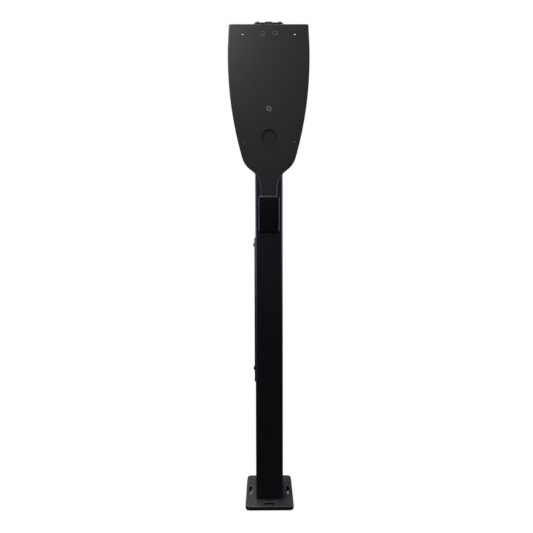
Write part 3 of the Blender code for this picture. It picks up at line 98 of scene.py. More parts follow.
# %% [markdown]
# ## Helpers for node trees
#
# Materials and Geometry Nodes are both graphs of nodes. One helper adds a node, sets its
# options and fills its inputs, either with plain values or with wires from other nodes.
# A second one opens a new group with named inputs and outputs.


# %% Helpers for node trees
def add(tree, kind, inputs=None, **options):
    """One node. An input is given by name or index, as a value or as another node's socket."""
    made = tree.nodes.new(kind)
    for name, value in options.items():
        setattr(made, name, value)
    for name, value in (inputs or {}).items():
        if isinstance(value, bpy.types.NodeSocket):
            tree.links.new(value, made.inputs[name])
        else:
            made.inputs[name].default_value = value
    return made


def math_of(tree, operation, first, second=0.0):
    """The result of one Math node."""
    return add(tree, "ShaderNodeMath", {0: first, 1: second}, operation=operation).outputs[0]


def new_group(name, kind, inputs, outputs):
    """A node group, with its own input and output nodes."""
    tree = bpy.data.node_groups.new(name, kind)
    for label, socket_type, value in inputs:
        socket = tree.interface.new_socket(label, in_out="INPUT", socket_type=socket_type)
        if value is not None:
            socket.default_value = value
    for label, socket_type in outputs:
        tree.interface.new_socket(label, in_out="OUTPUT", socket_type=socket_type)
    return tree, tree.nodes.new("NodeGroupInput").outputs, tree.nodes.new("NodeGroupOutput").inputs


FLOAT = "NodeSocketFloat"
VECTOR = "NodeSocketVector"
GEOMETRY = "NodeSocketGeometry"

# %% [markdown]
# ## Shared effects
#
# Five effects go onto the surfaces of this object: the finish has a grain, dust settles
# on it, hands leave faint smudges, edges are rubbed a little paler, and gaps and sockets
# are darkened with painted shade. Each is a node group that is built once and placed in a
# material with its own values. Patterns read Object coordinates, which are plain metres
# here, so a size of 0.6 mm is 0.6 mm on every piece.


# %% Grain: the pebbled skin of powder coat and moulded plastic
def make_grain():
    tree, given, result = new_group(
        "Pebbled grain", "ShaderNodeTree",
        [("Pebble Size", FLOAT, 0.0006), ("Cloud Size", FLOAT, 0.03)],
        [("Height", FLOAT), ("Cloud", FLOAT)],
    )
    place = add(tree, "ShaderNodeTexCoord").outputs["Object"]
    fine = math_of(tree, "DIVIDE", 1.0, given["Pebble Size"])
    coarse = math_of(tree, "DIVIDE", 1.0, given["Cloud Size"])
    pebbles = add(
        tree, "ShaderNodeTexVoronoi", {"Vector": place, "Scale": fine, "Smoothness": 0.8},
        feature="SMOOTH_F1",
    )
    ripple = add(tree, "ShaderNodeTexNoise", {"Vector": place, "Scale": fine, "Detail": 2.0})
    height = math_of(tree, "ADD", pebbles.outputs["Distance"], ripple.outputs["Fac"])
    cloud = add(
        tree, "ShaderNodeTexNoise",
        {"Vector": place, "Scale": coarse, "Detail": 4.0, "Roughness": 0.6},
    )
    tree.links.new(math_of(tree, "MULTIPLY", height, 0.5), result["Height"])
    tree.links.new(cloud.outputs["Fac"], result["Cloud"])
    return tree


GRAIN = make_grain()


# %% Dust: pale specks that lie here and there
def make_dust():
    tree, given, result = new_group(
        "Settled dust", "ShaderNodeTree",
        [("Spacing", FLOAT, 0.008), ("Speck Size", FLOAT, 0.1), ("Share", FLOAT, 0.35)],
        [("Specks", FLOAT)],
    )
    place = add(tree, "ShaderNodeTexCoord").outputs["Object"]
    cells = add(
        tree, "ShaderNodeTexVoronoi",
        {"Vector": place, "Scale": math_of(tree, "DIVIDE", 1.0, given["Spacing"])},
    )
    chance = add(tree, "ShaderNodeSeparateColor", {"Color": cells.outputs["Color"]})
    size = math_of(tree, "MULTIPLY", given["Speck Size"], chance.outputs["Green"])
    shown = math_of(tree, "LESS_THAN", chance.outputs["Red"], given["Share"])
    nearness = math_of(tree, "DIVIDE", cells.outputs["Distance"], size)
    speck = add(
        tree, "ShaderNodeMapRange", {"Value": nearness, "From Min": 1.0, "From Max": 0.4},
        interpolation_type="SMOOTHSTEP",
    )
    tree.links.new(math_of(tree, "MULTIPLY", speck.outputs[0], shown), result["Specks"])
    return tree


DUST = make_dust()


# %% Smudges: broad patches that hands leave
def make_smudges():
    tree, given, result = new_group(
        "Hand smudges", "ShaderNodeTree",
        [("Patch Size", FLOAT, 0.05), ("Threshold", FLOAT, 0.52)],
        [("Smudge", FLOAT)],
    )
    place = add(tree, "ShaderNodeTexCoord").outputs["Object"]
    drawn = add(
        tree, "ShaderNodeMapping", {"Vector": place, "Scale": (1.0, 1.0, 0.55)},
    ).outputs[0]
    patch = add(
        tree, "ShaderNodeTexNoise",
        {
            "Vector": drawn, "Scale": math_of(tree, "DIVIDE", 1.0, given["Patch Size"]),
            "Detail": 5.0, "Roughness": 0.65, "Distortion": 0.6,
        },
    )
    edge = math_of(tree, "ADD", given["Threshold"], 0.18)
    mask = add(
        tree, "ShaderNodeMapRange",
        {"Value": patch.outputs["Fac"], "From Min": given["Threshold"], "From Max": edge},
        interpolation_type="SMOOTHSTEP",
    )
    tree.links.new(mask.outputs[0], result["Smudge"])
    return tree


SMUDGES = make_smudges()


# %% Wear: corners that are rubbed, found by how far a rounded normal leans away
def make_wear():
    tree, given, result = new_group(
        "Rubbed corners", "ShaderNodeTree",
        [("Reach", FLOAT, 0.0008), ("Patch Size", FLOAT, 0.006)],
        [("Wear", FLOAT)],
    )
    place = add(tree, "ShaderNodeTexCoord").outputs["Object"]
    rounded = add(tree, "ShaderNodeBevel", {"Radius": given["Reach"]}, samples=4)
    flat = add(tree, "ShaderNodeNewGeometry")
    lean = add(
        tree, "ShaderNodeVectorMath",
        {0: rounded.outputs[0], 1: flat.outputs["Normal"]}, operation="DOT_PRODUCT",
    )
    corner = add(
        tree, "ShaderNodeMapRange",
        {"Value": lean.outputs["Value"], "From Min": 0.985, "From Max": 0.86},
    )
    broken = add(
        tree, "ShaderNodeTexNoise",
        {
            "Vector": place, "Scale": math_of(tree, "DIVIDE", 1.0, given["Patch Size"]),
            "Detail": 3.0,
        },
    )
    patches = add(
        tree, "ShaderNodeMapRange",
        {"Value": broken.outputs["Fac"], "From Min": 0.40, "From Max": 0.66},
    )
    wear = math_of(tree, "MULTIPLY", corner.outputs[0], patches.outputs[0])
    tree.links.new(wear, result["Wear"])
    return tree


WEAR = make_wear()


# %% Painted shade: corners, gaps and sockets darkened by how little of the room they see
def make_corner_shade():
    tree, given, result = new_group(
        "Painted corner shade", "ShaderNodeTree", [("Reach", FLOAT, 0.007)], [("Unshaded", FLOAT)],
    )
    seen = add(tree, "ShaderNodeAmbientOcclusion", {"Distance": given["Reach"]}, samples=6)
    unshaded = add(
        tree, "ShaderNodeMapRange",
        {"Value": seen.outputs["AO"], "From Min": 0.40, "From Max": 0.90, "To Min": 0.10},
    )
    tree.links.new(unshaded.outputs[0], result["Unshaded"])
    return tree


CORNER_SHADE = make_corner_shade()
# Painted shade: the near-black colour given to corners, gaps and sockets, and how far each finish
# looks for them.
CORNER_SHADE_COLOUR = (0.0015, 0.0015, 0.0016)
SKIN_SHADE_REACH = 0.007
STEEL_SHADE_REACH = 0.006
print("shared effects:", [tree.name for tree in (GRAIN, DUST, SMUDGES, WEAR, CORNER_SHADE)])

# %% [markdown]
# ## Coats and plastics
#
# Powder coat, moulded housings and rubber differ in colour, gloss and pebble size, but
# they share one recipe: a near-black base that clouds a little, a fine bump, dust,
# smudges that change the gloss, paler corners, and painted shade that darkens the gaps.
# The recipe is one function, and each finish calls it with its own numbers.


# %% One recipe for coated and moulded surfaces
DUST_COLOUR = (0.16, 0.16, 0.15)
# On the base plate the paler corner is also a painted highlight.
RUBBED_AND_LIT_GAIN = 2.2           # how much paler a rubbed corner is than its coat


def placed(tree, effect, **values):
    """Places a shared effect in a material. Underscores in the names stand for spaces."""
    made = add(tree, "ShaderNodeGroup", node_tree=effect)
    for name, value in values.items():
        made.inputs[name.replace("_", " ")].default_value = value
    return made.outputs


def mixed(tree, share, first, second):
    """One colour that fades into another."""
    mix = add(tree, "ShaderNodeMix", {0: share}, data_type="RGBA")
    for index, value in ((6, first), (7, second)):
        if isinstance(value, bpy.types.NodeSocket):
            tree.links.new(value, mix.inputs[index])
        else:
            mix.inputs[index].default_value = (*value, 1.0)
    return mix.outputs[2]


def new_material(name):
    material = bpy.data.materials.new(name)
    material.use_nodes = True
    tree = material.node_tree
    return material, tree, tree.nodes["Principled BSDF"]


def skin(
    name, colour, roughness, pebble, depth, dust=0.25, wear=0.35, cloud=0.18, specular=0.5,
    reach=0.0007, bared_and_lit=0.012,
):
    """A coated or moulded skin: colour clouds, grain, dust, smudges, paler corners, painted shade.
    """
    material, tree, shader = new_material(name)
    grain = placed(tree, GRAIN, Pebble_Size=pebble, Cloud_Size=0.035)
    specks = placed(tree, DUST, Spacing=0.0055, Speck_Size=0.15, Share=0.50)["Specks"]
    smudge = placed(tree, SMUDGES, Patch_Size=0.06, Threshold=0.50)["Smudge"]
    worn = placed(tree, WEAR, Reach=reach, Patch_Size=0.007)["Wear"]
    darker = tuple(part * (1 - cloud) for part in colour)
    paler = tuple(part * (1 + cloud) for part in colour)
    # Paler corners: rubbed coat, and where the lift is large, as on the base plate, a painted
    # highlight.
    rubbed_and_lit = tuple(part * RUBBED_AND_LIT_GAIN + bared_and_lit for part in colour)
    base = mixed(tree, grain["Cloud"], darker, paler)
    base = mixed(tree, math_of(tree, "MULTIPLY", worn, wear), base, rubbed_and_lit)
    base = mixed(tree, math_of(tree, "MULTIPLY", specks, dust), base, DUST_COLOUR)
    gloss = math_of(tree, "MULTIPLY", smudge, -0.07)
    clouded = math_of(tree, "MULTIPLY", grain["Cloud"], 0.10)
    rough = math_of(tree, "ADD", math_of(tree, "ADD", gloss, clouded), roughness - 0.04)
    bump = add(
        tree, "ShaderNodeBump", {"Height": grain["Height"], "Strength": 0.55, "Distance": depth},
    )
    # Painted shade: the colour turns near-black in gaps, sockets and corners that see little of the
    # room.
    unshaded = placed(tree, CORNER_SHADE, Reach=SKIN_SHADE_REACH)["Unshaded"]
    base = mixed(tree, unshaded, CORNER_SHADE_COLOUR, base)
    tree.links.new(base, shader.inputs["Base Color"])
    tree.links.new(rough, shader.inputs["Roughness"])
    tree.links.new(bump.outputs[0], shader.inputs["Normal"])
    shader.inputs["Specular IOR Level"].default_value = specular
    return material


powder_coat = skin("black powder coat", (0.0200, 0.0208, 0.0215), 0.50, 0.00075, 0.00009, dust=0.55)
# The base plate's coat has broad pale corner patches: partly rubbed coat, partly a painted
# highlight along the rounded front edge.
highlit_foot_coat = skin(
    "powder coat with painted edge highlight", (0.0200, 0.0208, 0.0205), 0.50, 0.00075, 0.00009, dust=0.55, wear=1.0,
    reach=0.0022, bared_and_lit=0.20,
)
plug_skin = skin("black plug", (0.0205, 0.0212, 0.0220), 0.52, 0.0005, 0.00006, dust=0.15)
# The post has the head plate's powder coat, painted darker: painted shade for the dimmer light on
# the post.
shaded_post_coat = skin("black powder coat with painted shade", (0.0105, 0.0112, 0.0125), 0.44, 0.00075, 0.00007, dust=0.15)
housing_skin = skin("black housing", (0.0040, 0.0042, 0.0058), 0.34, 0.0004, 0.00004, dust=0.06)
inner_plastic = skin("dark plastic", (0.028, 0.028, 0.030), 0.50, 0.0004, 0.00005, dust=0.05)
bezel_skin = skin("bezel plastic", (0.018, 0.018, 0.0195), 0.44, 0.0004, 0.00005, dust=0.12)
key_skin = skin("key rubber", (0.015, 0.015, 0.016), 0.58, 0.0003, 0.00004, dust=0.25, specular=0.4)
lead_skin = skin("lead sleeve", (0.012, 0.012, 0.013), 0.42, 0.0009, 0.00004, dust=0.05)
print("skins:", powder_coat.name, plug_skin.name, housing_skin.name, key_skin.name)

# %% [markdown]
# ## Smoked plastic, glass and lens
#
# The beam cover looks black but lets infrared through. It is a glossy moulding with a
# deep violet body, so its colour stays nearly black and its coat gives the shine. The
# display window is clear grey acrylic, so the numbers show through it. A lens is red
# glass with a fine moulded ring pattern.


# %% Smoked cover, window and lens
def smoked_cover():
    material, tree, shader = new_material("smoked cover")
    grain = placed(tree, GRAIN, Pebble_Size=0.004, Cloud_Size=0.05)
    smudge = placed(tree, SMUDGES, Patch_Size=0.03, Threshold=0.48)["Smudge"]
    specks = placed(tree, DUST, Spacing=0.006, Speck_Size=0.09, Share=0.35)["Specks"]
    worn = placed(tree, WEAR, Reach=0.0005, Patch_Size=0.01)["Wear"]
    base = mixed(tree, grain["Cloud"], (0.0050, 0.0048, 0.0080), (0.0085, 0.0078, 0.0125))
    base = mixed(tree, math_of(tree, "MULTIPLY", worn, 0.3), base, (0.05, 0.05, 0.06))
    base = mixed(tree, math_of(tree, "MULTIPLY", specks, 0.3), base, (0.15, 0.15, 0.15))
    rough = math_of(tree, "ADD", math_of(tree, "MULTIPLY", smudge, 0.14), 0.14)
    bump = add(
        tree, "ShaderNodeBump", {"Height": grain["Cloud"], "Strength": 0.2, "Distance": 0.0003},
    )
    tree.links.new(base, shader.inputs["Base Color"])
    tree.links.new(rough, shader.inputs["Roughness"])
    tree.links.new(bump.outputs[0], shader.inputs["Normal"])
    shader.inputs["Coat Weight"].default_value = 0.35
    shader.inputs["Coat Roughness"].default_value = 0.06
    return material


def clear_window():
    material, tree, shader = new_material("window acrylic")
    smudge = placed(tree, SMUDGES, Patch_Size=0.012, Threshold=0.46)["Smudge"]
    cloud = placed(tree, GRAIN, Pebble_Size=0.001, Cloud_Size=0.01)["Cloud"]
    base = mixed(tree, cloud, (0.62, 0.64, 0.64), (0.72, 0.74, 0.74))
    rough = math_of(tree, "ADD", math_of(tree, "MULTIPLY", smudge, 0.10), 0.03)
    tree.links.new(base, shader.inputs["Base Color"])
    tree.links.new(rough, shader.inputs["Roughness"])
    shader.inputs["Transmission Weight"].default_value = 1.0
    shader.inputs["IOR"].default_value = 1.49
    return material


def lens_glass():
    material, tree, shader = new_material("beam lens")
    place = add(tree, "ShaderNodeTexCoord").outputs["Object"]
    rings = add(
        tree, "ShaderNodeTexWave", {"Vector": place, "Scale": 600.0, "Distortion": 0.0},
        wave_type="RINGS", rings_direction="X",
    )
    cloud = placed(tree, GRAIN, Pebble_Size=0.001, Cloud_Size=0.004)["Cloud"]
    base = mixed(tree, cloud, (0.22, 0.02, 0.03), (0.34, 0.05, 0.06))
    bump = add(
        tree, "ShaderNodeBump",
        {"Height": rings.outputs["Fac"], "Strength": 0.15, "Distance": 0.00005},
    )
    tree.links.new(base, shader.inputs["Base Color"])
    tree.links.new(bump.outputs[0], shader.inputs["Normal"])
    shader.inputs["Roughness"].default_value = 0.08
    shader.inputs["Coat Weight"].default_value = 0.6
    return material


smoked = smoked_cover()
window_clear = clear_window()
lens_red = lens_glass()
print("clear and glossy:", smoked.name, window_clear.name, lens_red.name)

# %% [markdown]
# ## Metals
#
# The screws in view are blackened, which leaves a dark oxide with brown and blue in it.
# The pieces inside are zinc plated: brighter, with the faint frost of the plating and
# the lines of the tool that cut them. Both are metals, and differ in colour and gloss.


# %% Blackened and zinc-plated steel
def steel(name, dark, pale, roughness, frost, wear_colour, wear):
    material, tree, shader = new_material(name)
    place = add(tree, "ShaderNodeTexCoord").outputs["Object"]
    crystals = add(tree, "ShaderNodeTexVoronoi", {"Vector": place, "Scale": 1 / frost})
    tone = add(tree, "ShaderNodeSeparateColor", {"Color": crystals.outputs["Color"]})
    stretched = add(
        tree, "ShaderNodeMapping", {"Vector": place, "Scale": (1.0, 1.0, 30.0)},
    ).outputs[0]
    lines = add(tree, "ShaderNodeTexNoise", {"Vector": stretched, "Scale": 120.0, "Detail": 3.0})
    worn = placed(tree, WEAR, Reach=0.0004, Patch_Size=0.002)["Wear"]
    base = mixed(tree, tone.outputs["Red"], dark, pale)
    base = mixed(tree, math_of(tree, "MULTIPLY", worn, wear), base, wear_colour)
    # Painted shade: the metal turns near-black in sockets, threads and gaps that see little of the
    # room.
    unshaded = placed(tree, CORNER_SHADE, Reach=STEEL_SHADE_REACH)["Unshaded"]
    base = mixed(tree, unshaded, CORNER_SHADE_COLOUR, base)
    uneven = math_of(tree, "MULTIPLY", tone.outputs["Green"], 0.14)
    lined = math_of(tree, "MULTIPLY", lines.outputs["Fac"], 0.10)
    rough = math_of(tree, "ADD", math_of(tree, "ADD", uneven, lined), roughness - 0.12)
    bump = add(
        tree, "ShaderNodeBump",
        {"Height": lines.outputs["Fac"], "Strength": 0.25, "Distance": 0.00003},
    )
    tree.links.new(base, shader.inputs["Base Color"])
    tree.links.new(rough, shader.inputs["Roughness"])
    tree.links.new(bump.outputs[0], shader.inputs["Normal"])
    shader.inputs["Metallic"].default_value = 1.0
    return material


black_steel = steel(
    "blackened steel", (0.14, 0.14, 0.14), (0.20, 0.20, 0.198), 0.30, 0.0009,
    (0.30, 0.30, 0.31), 0.6,
)
zinc = steel(
    "zinc-plated steel", (0.50, 0.51, 0.53), (0.62, 0.62, 0.60), 0.36, 0.0018,
    (0.72, 0.72, 0.72), 0.4,
)
print("metals:", black_steel.name, zinc.name)

# %% [markdown]
# ## Electronics
#
# A circuit board is green varnish over copper tracks, so the tracks show as paler,
# slightly raised bands. The liquid crystal panel is a flat grey-green with a fine dot
# pitch, and its numbers stand on it as separate dark pieces. A cell is a printed sleeve
# with bare steel ends, and the height along the cell decides which is which.


# %% Board, panel, digits and cells
def board_varnish():
    material, tree, shader = new_material("circuit board")
    place = add(tree, "ShaderNodeTexCoord").outputs["Object"]
    tracks = add(
        tree, "ShaderNodeTexBrick",
        {"Vector": place, "Scale": 180.0, "Mortar Size": 0.06, "Color1": (0, 0, 0, 1),
         "Color2": (0.25, 0.25, 0.25, 1), "Mortar": (1, 1, 1, 1)},
        offset=0.5, squash=0.6,
    )
    pads = add(tree, "ShaderNodeTexVoronoi", {"Vector": place, "Scale": 260.0})
    pad = math_of(tree, "LESS_THAN", pads.outputs["Distance"], 0.16)
    copper = math_of(tree, "MAXIMUM", tracks.outputs["Fac"], pad)
    base = mixed(tree, copper, (0.006, 0.045, 0.018), (0.018, 0.105, 0.040))
    base = mixed(tree, pad, base, (0.45, 0.43, 0.38))
    bump = add(
        tree, "ShaderNodeBump", {"Height": copper, "Strength": 0.4, "Distance": 0.00004},
    )
    tree.links.new(base, shader.inputs["Base Color"])
    tree.links.new(bump.outputs[0], shader.inputs["Normal"])
    shader.inputs["Roughness"].default_value = 0.32
    shader.inputs["Coat Weight"].default_value = 0.3
    return material


def panel_glass():
    material, tree, shader = new_material("display panel")
    place = add(tree, "ShaderNodeTexCoord").outputs["Object"]
    dots = add(tree, "ShaderNodeTexChecker", {"Vector": place, "Scale": 2500.0})
    cloud = placed(tree, GRAIN, Pebble_Size=0.001, Cloud_Size=0.02)["Cloud"]
    base = mixed(tree, cloud, (0.165, 0.200, 0.150), (0.205, 0.240, 0.180))
    share = math_of(tree, "MULTIPLY", dots.outputs["Fac"], 0.12)
    base = mixed(tree, share, base, (0.12, 0.15, 0.11))
    tree.links.new(base, shader.inputs["Base Color"])
    # The panel also glows faintly in its own grey-green: painted light on the panel.
    tree.links.new(base, shader.inputs["Emission Color"])
    shader.inputs["Emission Strength"].default_value = 0.35
    shader.inputs["Roughness"].default_value = 0.28
    return material


def digit_ink():
    material, tree, shader = new_material("display digits")
    cloud = placed(tree, GRAIN, Pebble_Size=0.0005, Cloud_Size=0.004)["Cloud"]
    tree.links.new(
        mixed(tree, cloud, (0.010, 0.013, 0.012), (0.018, 0.022, 0.020)),
        shader.inputs["Base Color"],
    )
    shader.inputs["Roughness"].default_value = 0.35
    return material


BARE_END = 0.0016           # bare steel at either end of a cell
BAND_START = 0.30           # where the paler band starts, as a share of the cell


def cell_sleeve(low, high):
    """A blue sleeve between two heights, and bare steel above and below it."""
    material, tree, shader = new_material("cell sleeve")
    place = add(tree, "ShaderNodeTexCoord").outputs["Object"]
    height = add(tree, "ShaderNodeSeparateXYZ", {0: place}).outputs["Z"]
    length = (high - low) / 2
    along = math_of(tree, "PINGPONG", math_of(tree, "SUBTRACT", height, low), length / 2)
    bare = math_of(tree, "LESS_THAN", along, BARE_END)
    band = math_of(tree, "GREATER_THAN", along, length * BAND_START)
    scratches = add(
        tree, "ShaderNodeTexNoise", {"Vector": place, "Scale": 900.0, "Detail": 2.0},
    )
    base = mixed(tree, band, (0.045, 0.075, 0.16), (0.09, 0.16, 0.30))
    base = mixed(tree, bare, base, (0.60, 0.60, 0.58))
    rough = math_of(
        tree, "ADD", math_of(tree, "MULTIPLY", scratches.outputs["Fac"], 0.12), 0.22,
    )
    tree.links.new(base, shader.inputs["Base Color"])
    tree.links.new(bare, shader.inputs["Metallic"])
    tree.links.new(rough, shader.inputs["Roughness"])
    return material


varnish = board_varnish()
panel = panel_glass()
ink = digit_ink()
cells = cell_sleeve(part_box("cell_1")[0][2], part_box("cell_2")[1][2])
print("electronics:", varnish.name, panel.name, ink.name, cells.name)

# %% [markdown]
# ## Which node wears what
#
# The frame's solids stay where they are, and only get a new material in their slots.
# The first word that matches a node's name decides its finish, so a new node of a known
# kind is covered too.

# %% Finishes for the frame's own solids
FINISHES = (
    ("cell_", cells), ("beam_lens", lens_red), ("key_clip", zinc), ("key_spring", zinc),
    ("key_lead", lead_skin), ("key_board_screw", zinc), ("key_board", varnish),
    ("key_", key_skin), ("sensor_lead", lead_skin), ("battery_lead", lead_skin),
    ("sensor_board", varnish), ("main_board", varnish), ("sensor_carrier", inner_plastic),
    ("battery_holder", inner_plastic), ("display_bezel", bezel_skin),
    ("display_window", window_clear), ("display_panel", panel), ("side_cover", smoked),
    ("neck_cover", housing_skin), ("cable_hole_plug", plug_skin), ("backing_bar", zinc),
    ("foot_block", zinc), ("foot_screw", zinc), ("side_nut", zinc),
    ("head_plate", powder_coat), ("post", shaded_post_coat), ("base_plate", highlit_foot_coat),
    ("top_cap", powder_coat), ("", black_steel),
)


def finish_of(node):
    return next(material for start, material in FINISHES if node.startswith(start))


for name, node in nodes.items():
    for slot in node.material_slots:
        slot.material = finish_of(name)
print("finishes:", len(FINISHES), "kinds on", len(nodes), "nodes")

# %% [markdown]
# ## Shells with eased edges
#
# A coated or moulded edge is never sharp: it catches a thin line of light. The solids of
# the frame have the right form but knife edges, so each visible one is copied, its loose
# triangles are merged into whole faces, and its sharp edges get a narrow round. A bevel
# in mesh code is used rather than a shader trick, so that the line of light is real.

# %% Eased copies of the visible shells
SHARP = math.radians(50)
SMOOTH = math.radians(32)
FLAT = math.radians(0.6)
SAME_POINT = 0.000002
EASE_STEPS = 2
SIDES = ("left", "centre", "right")
KEY_EASE = 0.00015
SHELLS = (                  # node, material slot, width of the eased edge
    ("base_plate", "black_powder_coat", 0.00045),
    ("post", "black_powder_coat", 0.00025),
    ("head_plate", "black_powder_coat", 0.00030),
    ("top_cap", "black_powder_coat", 0.00025),
    ("neck_cover", "black_housing", 0.00020),
    ("side_cover", "smoked_plastic", 0.00030),
    ("cable_hole_plug", "black_plug", 0.00020),
    ("display_bezel", "dark_plastic", 0.00030),
)


def smooth_shaded(mesh):
    mesh.shade_smooth()
    mesh.set_sharp_from_angle(angle=SMOOTH)


def kept_flat(piece):
    """Lets the large faces of a smooth-shaded piece set the normals, so that they look flat."""
    weighing = piece.modifiers.new("weighing", "WEIGHTED_NORMAL")
    weighing.weight = 100
    weighing.keep_sharp = True
    ready = piece.evaluated_get(bpy.context.evaluated_depsgraph_get())
    mesh = bpy.data.meshes.new_from_object(ready)
    piece.modifiers.remove(weighing)
    piece.data = mesh


def eased(node, body, ease):
    """A copy of a node with whole faces and rounded edges, standing for the node."""
    name = f"{node}_shell"
    shape = bmesh.new()
    shape.from_mesh(nodes[node].data)
    bmesh.ops.remove_doubles(shape, verts=shape.verts, dist=SAME_POINT)
    bmesh.ops.dissolve_limit(
        shape, angle_limit=FLAT, verts=shape.verts, edges=shape.edges,
    )
    keen = [
        edge for edge in shape.edges
        if len(edge.link_faces) == 2 and edge.calc_face_angle(0) > SHARP
    ]
    if ease and keen:
        bmesh.ops.bevel(
            shape, geom=keen, offset=ease, segments=EASE_STEPS, profile=0.5, affect="EDGES",
            clamp_overlap=True, loop_slide=True,
        )
    open_edges = sum(not edge.is_manifold for edge in shape.edges)
    mesh = bpy.data.meshes.new(name)
    shape.to_mesh(mesh)
    shape.free()
    smooth_shaded(mesh)
    mesh.materials.clear()
    mesh.materials.append(finish_of(node))
    piece = bpy.data.objects.new(name, mesh)
    bpy.context.collection.objects.link(piece)
    kept_flat(piece)
    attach(piece, body)
    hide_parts(node)
    print(f"{name}: {len(mesh.polygons)} faces, {open_edges} open edges")
    return piece


for node, slot_name, ease in SHELLS:
    eased(node, "root", ease)
for side in SIDES:
    eased(f"key_{side}", f"{side}_key", KEY_EASE)

# %% [markdown]
# ## Key springs
#
# A coil spring under each key gets shorter when the key goes down. Each spring is copied
# with whole faces and without eased edges, and the copy gets a mesh of its own.

# %% Spring copies with meshes of their own
NO_EASE = 0
for side in SIDES:
    spring = eased(f"key_spring_{side}", "root", NO_EASE)
    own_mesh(spring)

# %% [markdown]
# ## Socket screws
#
# Every screw is a turned blank: a head whose radius follows a simple curve of its
# height, a threaded shank, and a six-sided socket cut into the face. That is a rule with
# a few sizes, so one Geometry Nodes tree makes all of them. It builds one screw with its
# face at the origin, puts it on each point of a set of places, turns each by a random
# but repeatable angle, and turns the copies into real mesh.


# %% The screw tree
HEAD_SIDES = 36
HEAD_RINGS = 8
SHANK_SIDES = 20
RINGS_PER_TURN = 4.0
GROOVE_SHARE = 0.9          # thread depth as a share of its pitch
SOCKET_SHARE = 0.42         # socket depth as a share of the head's radius


def bent(tree, mesh, position):
    """A mesh whose points move to a computed position."""
    return add(
        tree, "GeometryNodeSetPosition", {"Geometry": mesh, "Position": position},
    ).outputs[0]


